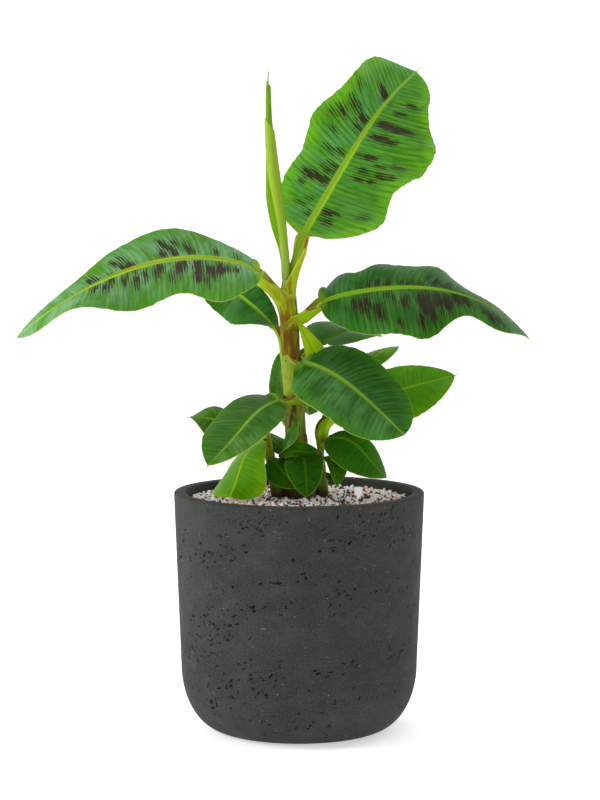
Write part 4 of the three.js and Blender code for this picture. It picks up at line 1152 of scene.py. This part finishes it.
# ---------- build ----------
# Upper faces: colours of body, edge, painted sheen, mottle and painted crease shade, midrib and painted
# ridge highlight, and stalk, then what departs from the usual.
FACES = {
    "crown": ("#47900a #66ae0c #4f9850 #235c0c #90c224 #8fb41c",
              {"seed": 0.0, "lean": (0.35, 1.0), "pleats": 0.6, "blotch": "#261f06"}),
    "arch_left": ("#458618 #478c0c #70aa72 #2a6618 #b4d43a #8fb01f", {"seed": 1.3, "pale": 0.26}),
    "arch_right": ("#1c5609 #2b6c08 #337228 #103a06 #86b020 #6f9c10",
                   {"seed": 2.1, "gloss": 0.12, "pleats": 0.24, "pale": 0.08, "blotch": "#201a06"}),
    "deep": ("#205a0c #387a0a #488639 #123a08 #7aa62a #6f9a1c",
             {"seed": 3.7, "spacing": 7, "lean": (1.0, 0.2), "gloss": 0.16, "pleats": 0.47, "pale": 0.14}),
    "shade": ("#1d4e02 #326a04 #265a0a #123502 #4c7c12 #466f0c",
              {"seed": 4.9, "spacing": 6, "pale": 0.06, "gloss": 0.03}),
    "half_shade": ("#2e6c06 #438409 #35730f #1c4804 #6a9c1c #5c8a10",
                   {"seed": 4.3, "spacing": 6, "pale": 0.06, "gloss": 0.05}),
    "sunny": ("#5aa204 #6eb008 #5a9c0c #3c7a02 #a0c41c #7fac0c",
              {"seed": 5.9, "spacing": 6, "pale": 0.06, "gloss": 0.05,
               "sheath": "#9cc01c", "stain": "#84a414"}),
    "matt": ("#2c5f0c #37700a #5f8e48 #224f0c #84ad3a #6f9a1c",
             {"seed": 3.1, "spacing": 7, "pleats": 0.36, "gloss": 0.1, "lean": (0.15, 0.6), "pale": 0.18}),
    "bright": ("#3a7202 #4c8404 #447c08 #336502 #90b41c #6f9a0c",
               {"seed": 5.5, "spacing": 6, "pale": 0.04, "gloss": 0.03}),
    "pale": ("#94bc06 #a0c40c #8cb404 #84ac04 #94bc06 #9cc00a",
             {"seed": 7.2, "spacing": 6, "mottle": 0.2, "pale": 0.0, "gloss": 0.09}),
    "young": ("#4f8a02 #6f9f04 #4f8c06 #3c7402 #94b81c #84a80c",
              {"seed": 6.4, "spacing": 6, "mottle": 0.3, "pale": 0.04, "gloss": 0.03}),
    "roll": ("#88a82a #96b62c #8fac48 #6f8f1c #9dbb2c #86a81c",
             {"seed": 8.1, "spacing": 5, "mottle": 0.3, "pleats": 0.12, "gloss": 0.12}),
    "roll_inside": ("#6a9c04 #78a80a #5f9206 #4f8204 #9dbb2c #86a81c",
                    {"seed": 8.8, "spacing": 5, "mottle": 0.3, "pleats": 0.2, "gloss": 0.09}),
    "core": ("#5a8a10 #6f9c1c #4f7d14 #3f6a0c #9dbb2c #86a81c",
             {"seed": 9.3, "spacing": 5, "mottle": 0.4, "pleats": 0.2, "gloss": 0.12}),
}
FINISHES = {look: leaf_finish("banana_leaf_" + look, *colours.split(), **more)
            for look, (colours, more) in FACES.items()}
LOOKS = {
    "crown_leaf": "crown", "left_arch_leaf": "arch_left", "right_arch_leaf": "arch_right",
    "front_right_leaf": "deep", "front_left_leaf": "matt", "left_upright_leaf": "matt", "pale_leaf": "pale",
    "back_left_leaf": "arch_right", "back_right_leaf": "half_shade", "low_left_leaf": "half_shade",
    "right_sucker_far_leaf": "sunny", "right_sucker_back_leaf": "sunny",
    "right_sucker_low_leaf": "half_shade", "right_sucker_arch_leaf": "half_shade",
    "right_sucker_small_leaf": "half_shade",
    "left_sucker_low_leaf": "half_shade", "left_sucker_upright_leaf": "half_shade",
    "left_sucker_far_leaf": "bright", "left_sucker_pale_leaf": "young",
}

# Lower faces of the leaves whose sheath or blade shows from below; the others share one.
UNDER = underside_finish("banana_leaf_underside")
UNDER_FACES = {
    "crown_leaf": ("sheath_crown",
                   {"fresh": "#a6c01a", "old": "#8a6a12", "rib": "#a2c41c", "share": (0.54, 0.7)}),
    "left_arch_leaf": ("sheath_arch_left",
                       {"fresh": "#96a812", "old": "#7a4c0c", "rib": "#aac622", "share": (0.45, 0.6)}),
    "right_arch_leaf": ("sheath_arch_right",
                        {"fresh": "#868410", "old": "#6a4c0a", "rib": "#8cb306", "share": (0.4, 0.62)}),
    "back_left_leaf": ("sheath_back_left", {"fresh": "#a9b93a", "old": "#93a42c", "rib": "#86b41c"}),
    "front_right_leaf": ("sheath_front_right", {"fresh": "#93a63a", "old": "#7f9034", "rib": "#8fb31e"}),
    "front_left_leaf": ("sheath_front_left", {"fresh": "#84a010", "old": "#72840c", "rib": "#8cb31c"}),
    # the sucker sheaths below are light: partly their fresh green, partly painted light against the shade of
    # the leaves over them
    "right_sucker_far_leaf": ("sheath_right_sucker",
                              {"fresh": "#b8dc20", "old": "#9cc018", "rib": "#b4dc20"}),
    "right_sucker_back_leaf": ("sheath_right_sucker_back",
                               {"fresh": "#b8dc20", "old": "#9cc018", "rib": "#a8cc34", "body": "#b4c834"}),
    "left_sucker_far_leaf": ("sheath_left_sucker", {"fresh": "#b4cc20", "old": "#a0b41a", "rib": "#b0cc20"}),
}
UNDERS = {leaf: underside_finish(look, **more) for leaf, (look, more) in UNDER_FACES.items()}


def dress(piece, look, node, degrees=None):
    """Gives a piece its finish and ties it to its node; degrees smooths it first."""
    if degrees:
        smooth(piece, degrees)
    piece.data.materials.append(look)
    finish(piece, [node])


dress(build_pot(), concrete_finish(), "pot", 60)

stones, bed = build_grit()
grit_finishes = {
    "grit_pink": stone_finish("pumice_pink", "#f8ddcd", "#dcb9a6", "#b08f80"),
    "grit_white": stone_finish("pumice_white", "#f6fbff", "#d2e2ee", "#aebcc6"),
    "grit_maroon": stone_finish("lava_maroon", "#6f5254", "#3c2c30", "#241b1e"),
}
for piece in stones:
    dress(piece, grit_finishes[piece.name], "grit_bed")
# the bed is darker than the stones: painted shade in the gaps between them
dress(bed, stone_finish("grit_gap_shade", "#a08d83", "#6d5e57", "#453b37"), "grit_bed", 30)

# a faint glow makes up for the shade that the leaves and the pot's wall cast on the label
label_plastic = plain_finish("matt_polystyrene", "#ffffff", "#f6f7f8", 0.5, 300.0,
                             glow=("#eef0f6", LABEL_GLOW))
dress(build_label(), label_plastic, "plant_label")

stem_skins = {
    "pseudostem": stem_finish("sheath_skin_main", "#869a0e", "#6a7008", "#4a3008", 0.0, 0.612),
    # the suckers' skins are lighter than the main stem's: partly their fresher green, partly painted light
    # against the shade of the leaves over them
    "right_sucker_stem": stem_finish("sheath_skin_right", "#98c014", "#82a60e", "#7a7410", 0.4, 0.5),
    "left_sucker_stem": stem_finish("sheath_skin_left", "#a8c41c", "#8ea210", "#7a5a10", 0.7, 0.5),
}
for name, stem in STEMS.items():
    big = name == "pseudostem"
    piece = build_stem(name, stem, 72 if big else 48, 220 if big else 70, SCARS[name])
    dress(piece, stem_skins[name], name, 60)

dry_thread = plain_finish("dry_leaf_thread", "#a8983a", "#8a6a30", 0.7, 150.0)
for number, (name, sizes) in enumerate(LEAVES.items()):
    leaf = {**USUAL, **sizes}
    piece = build_leaf(name, leaf, 40 + number)
    look = LOOKS.get(name, "shade")
    piece.data.materials.append(FINISHES[look])
    piece.data.materials.append(UNDERS.get(name, UNDER))
    apply_all(piece)
    smooth(piece, 50)
    finish(piece, [name])
    if name in THREADS:
        line, bend = midrib_line(leaf), np.array(THREADS[name])
        ahead = unit(line[-1] - line[-8])
        points = [line[-1] + ahead * (k * 4 - 3) + bend * (k / 3) ** 2 for k in range(4)]
        dress(tip_thread(name + "_thread", points, 0.9), dry_thread, name, 60)

# the free margin of the right arch's sheath has dried and crosses the stem as a pale strip
strip = tip_thread("sheath_margin", [(9, -9.5, 572), (3, -11.8, 567), (-4, -13.2, 559), (-11, -14.4, 552),
                                     (-18.5, -12.9, 544)], 0.9)
dry_margin = plain_finish("dry_sheath_margin", "#ecd850", "#d0a83c", 0.7, 150.0)
dress(strip, dry_margin, "right_arch_leaf", 60)

# the rolled leaf: its near half in a long roll, its far half a flap behind, and its own tip inside
flap = rolled("spear_flap", SPEAR, 1.02, math.radians(20), lambda angle: 0.56, 0.0, deep=0.42)
roll = rolled("spear_roll", ROLL, 1.06, math.radians(150), lambda angle: 0.726 - 0.029 * math.cos(angle), 0.1)
core = rolled("spear_core", {"x": ROLL["x"], "radius": CORE_RADIUS}, 1.1, math.radians(200),
              lambda angle: 0.915 - 0.012 * math.cos(angle), 0.0)
for piece, look in ((flap, "roll_inside"), (roll, "roll"), (core, "core")):
    piece.data.materials.append(FINISHES[look])
    apply_all(piece)
    smooth(piece, 50)
    finish(piece, ["rolled_spear_leaf"])
thread = tip_thread("spear_thread", [(-42, 0, 872), (-41.6, 0, 882), (-40.6, 0, 891), (-39.2, 0, 899)], 1.3)
dress(thread, dry_thread, "rolled_spear_leaf", 60)

# ---------- floor, light and camera ----------
SWEEP_HALF = 9000             # half the floor's width, in millimetres, and how far it reaches forward
SWEEP_BEND = 1600             # radius of the bend from floor to back wall
SWEEP_BACK = 4000             # where that bend begins
SWEEP_TOP = 7000
CAMERA_AT = (0.0012, -3.3, 0.756)
CAMERA_DOWN = 5.32            # degrees below the level

sweep = [(y, 0) for y in (-SWEEP_HALF, -6000, -3000, 0, 3000)]
sweep += [(SWEEP_BACK + SWEEP_BEND * math.sin(a), SWEEP_BEND - SWEEP_BEND * math.cos(a))
          for a in np.linspace(0, math.pi / 2, 25)]
sweep += [(SWEEP_BACK + SWEEP_BEND, z) for z in (3000, SWEEP_TOP)]
points = np.array([[(x, y, z) for x in (-SWEEP_HALF, SWEEP_HALF)] for y, z in sweep])
floor = sheet_of("studio_sweep", 1, len(sweep) - 1, points)[0]
smooth(floor, 60)
# the sweep glows faintly, as a lit table does, and so stays white behind the plant
paint = plain_finish("white_studio_paint", "#fdfdfd", "#fbfbfb", 0.9, 2.0, specular=0.1,
                     glow=(STUDIO_WHITE, 0.5))
floor.data.materials.append(paint)


def soft_light(name, place, aim, size, power):
    data = bpy.data.lights.new(name, "AREA")
    data.shape = "RECTANGLE"
    data.size, data.size_y = size
    data.energy = power
    lamp = bpy.data.objects.new(name, data)
    lamp.location = place
    lamp.rotation_euler = (Vector(aim) - Vector(place)).to_track_quat("-Z", "Y").to_euler()
    bpy.context.scene.collection.objects.link(lamp)


soft_light("key_window", (-2.7, -0.6, 1.6), (0, 0, 0.4), (1.2, 1.8), 56)
soft_light("right_window", (2.3, 1.5, 1.4), (0, 0, 0.35), (1.2, 1.8), 13)
soft_light("top_window", (0.2, -0.2, 2.8), (0, 0, 0.5), (1.8, 1.8), 17)

# no film curve over the picture, so that greens keep their depth
bpy.context.scene.view_settings.view_transform = "Standard"

world = bpy.data.worlds.new("studio_air")
world.use_nodes = True
air = world.node_tree.nodes["Background"]
air.inputs[0].default_value = linear(STUDIO_WHITE)
# white low down, behind the sweep's edges, and grey overhead, where the lights stand
height = put(world.node_tree, "ShaderNodeTexCoord").outputs["Generated"]
height = put(world.node_tree, "ShaderNodeSeparateXYZ", {0: height}).outputs[2]
glow = put(world.node_tree, "ShaderNodeMapRange", {"Value": height, "From Min": 0.1, "From Max": 0.35,
           "To Min": 1.0, "To Max": 0.33}).outputs[0]
world.node_tree.links.new(glow, air.inputs[1])
bpy.context.scene.world = world

camera_data = bpy.data.cameras.new("studio_camera")
camera_data.lens = 110
camera_data.sensor_width = 36
camera_data.clip_start = 0.05
camera = bpy.data.objects.new("studio_camera", camera_data)
camera.location = CAMERA_AT
camera.rotation_euler = (math.radians(90 - CAMERA_DOWN), 0, 0)
bpy.context.scene.collection.objects.link(camera)
bpy.context.scene.camera = camera
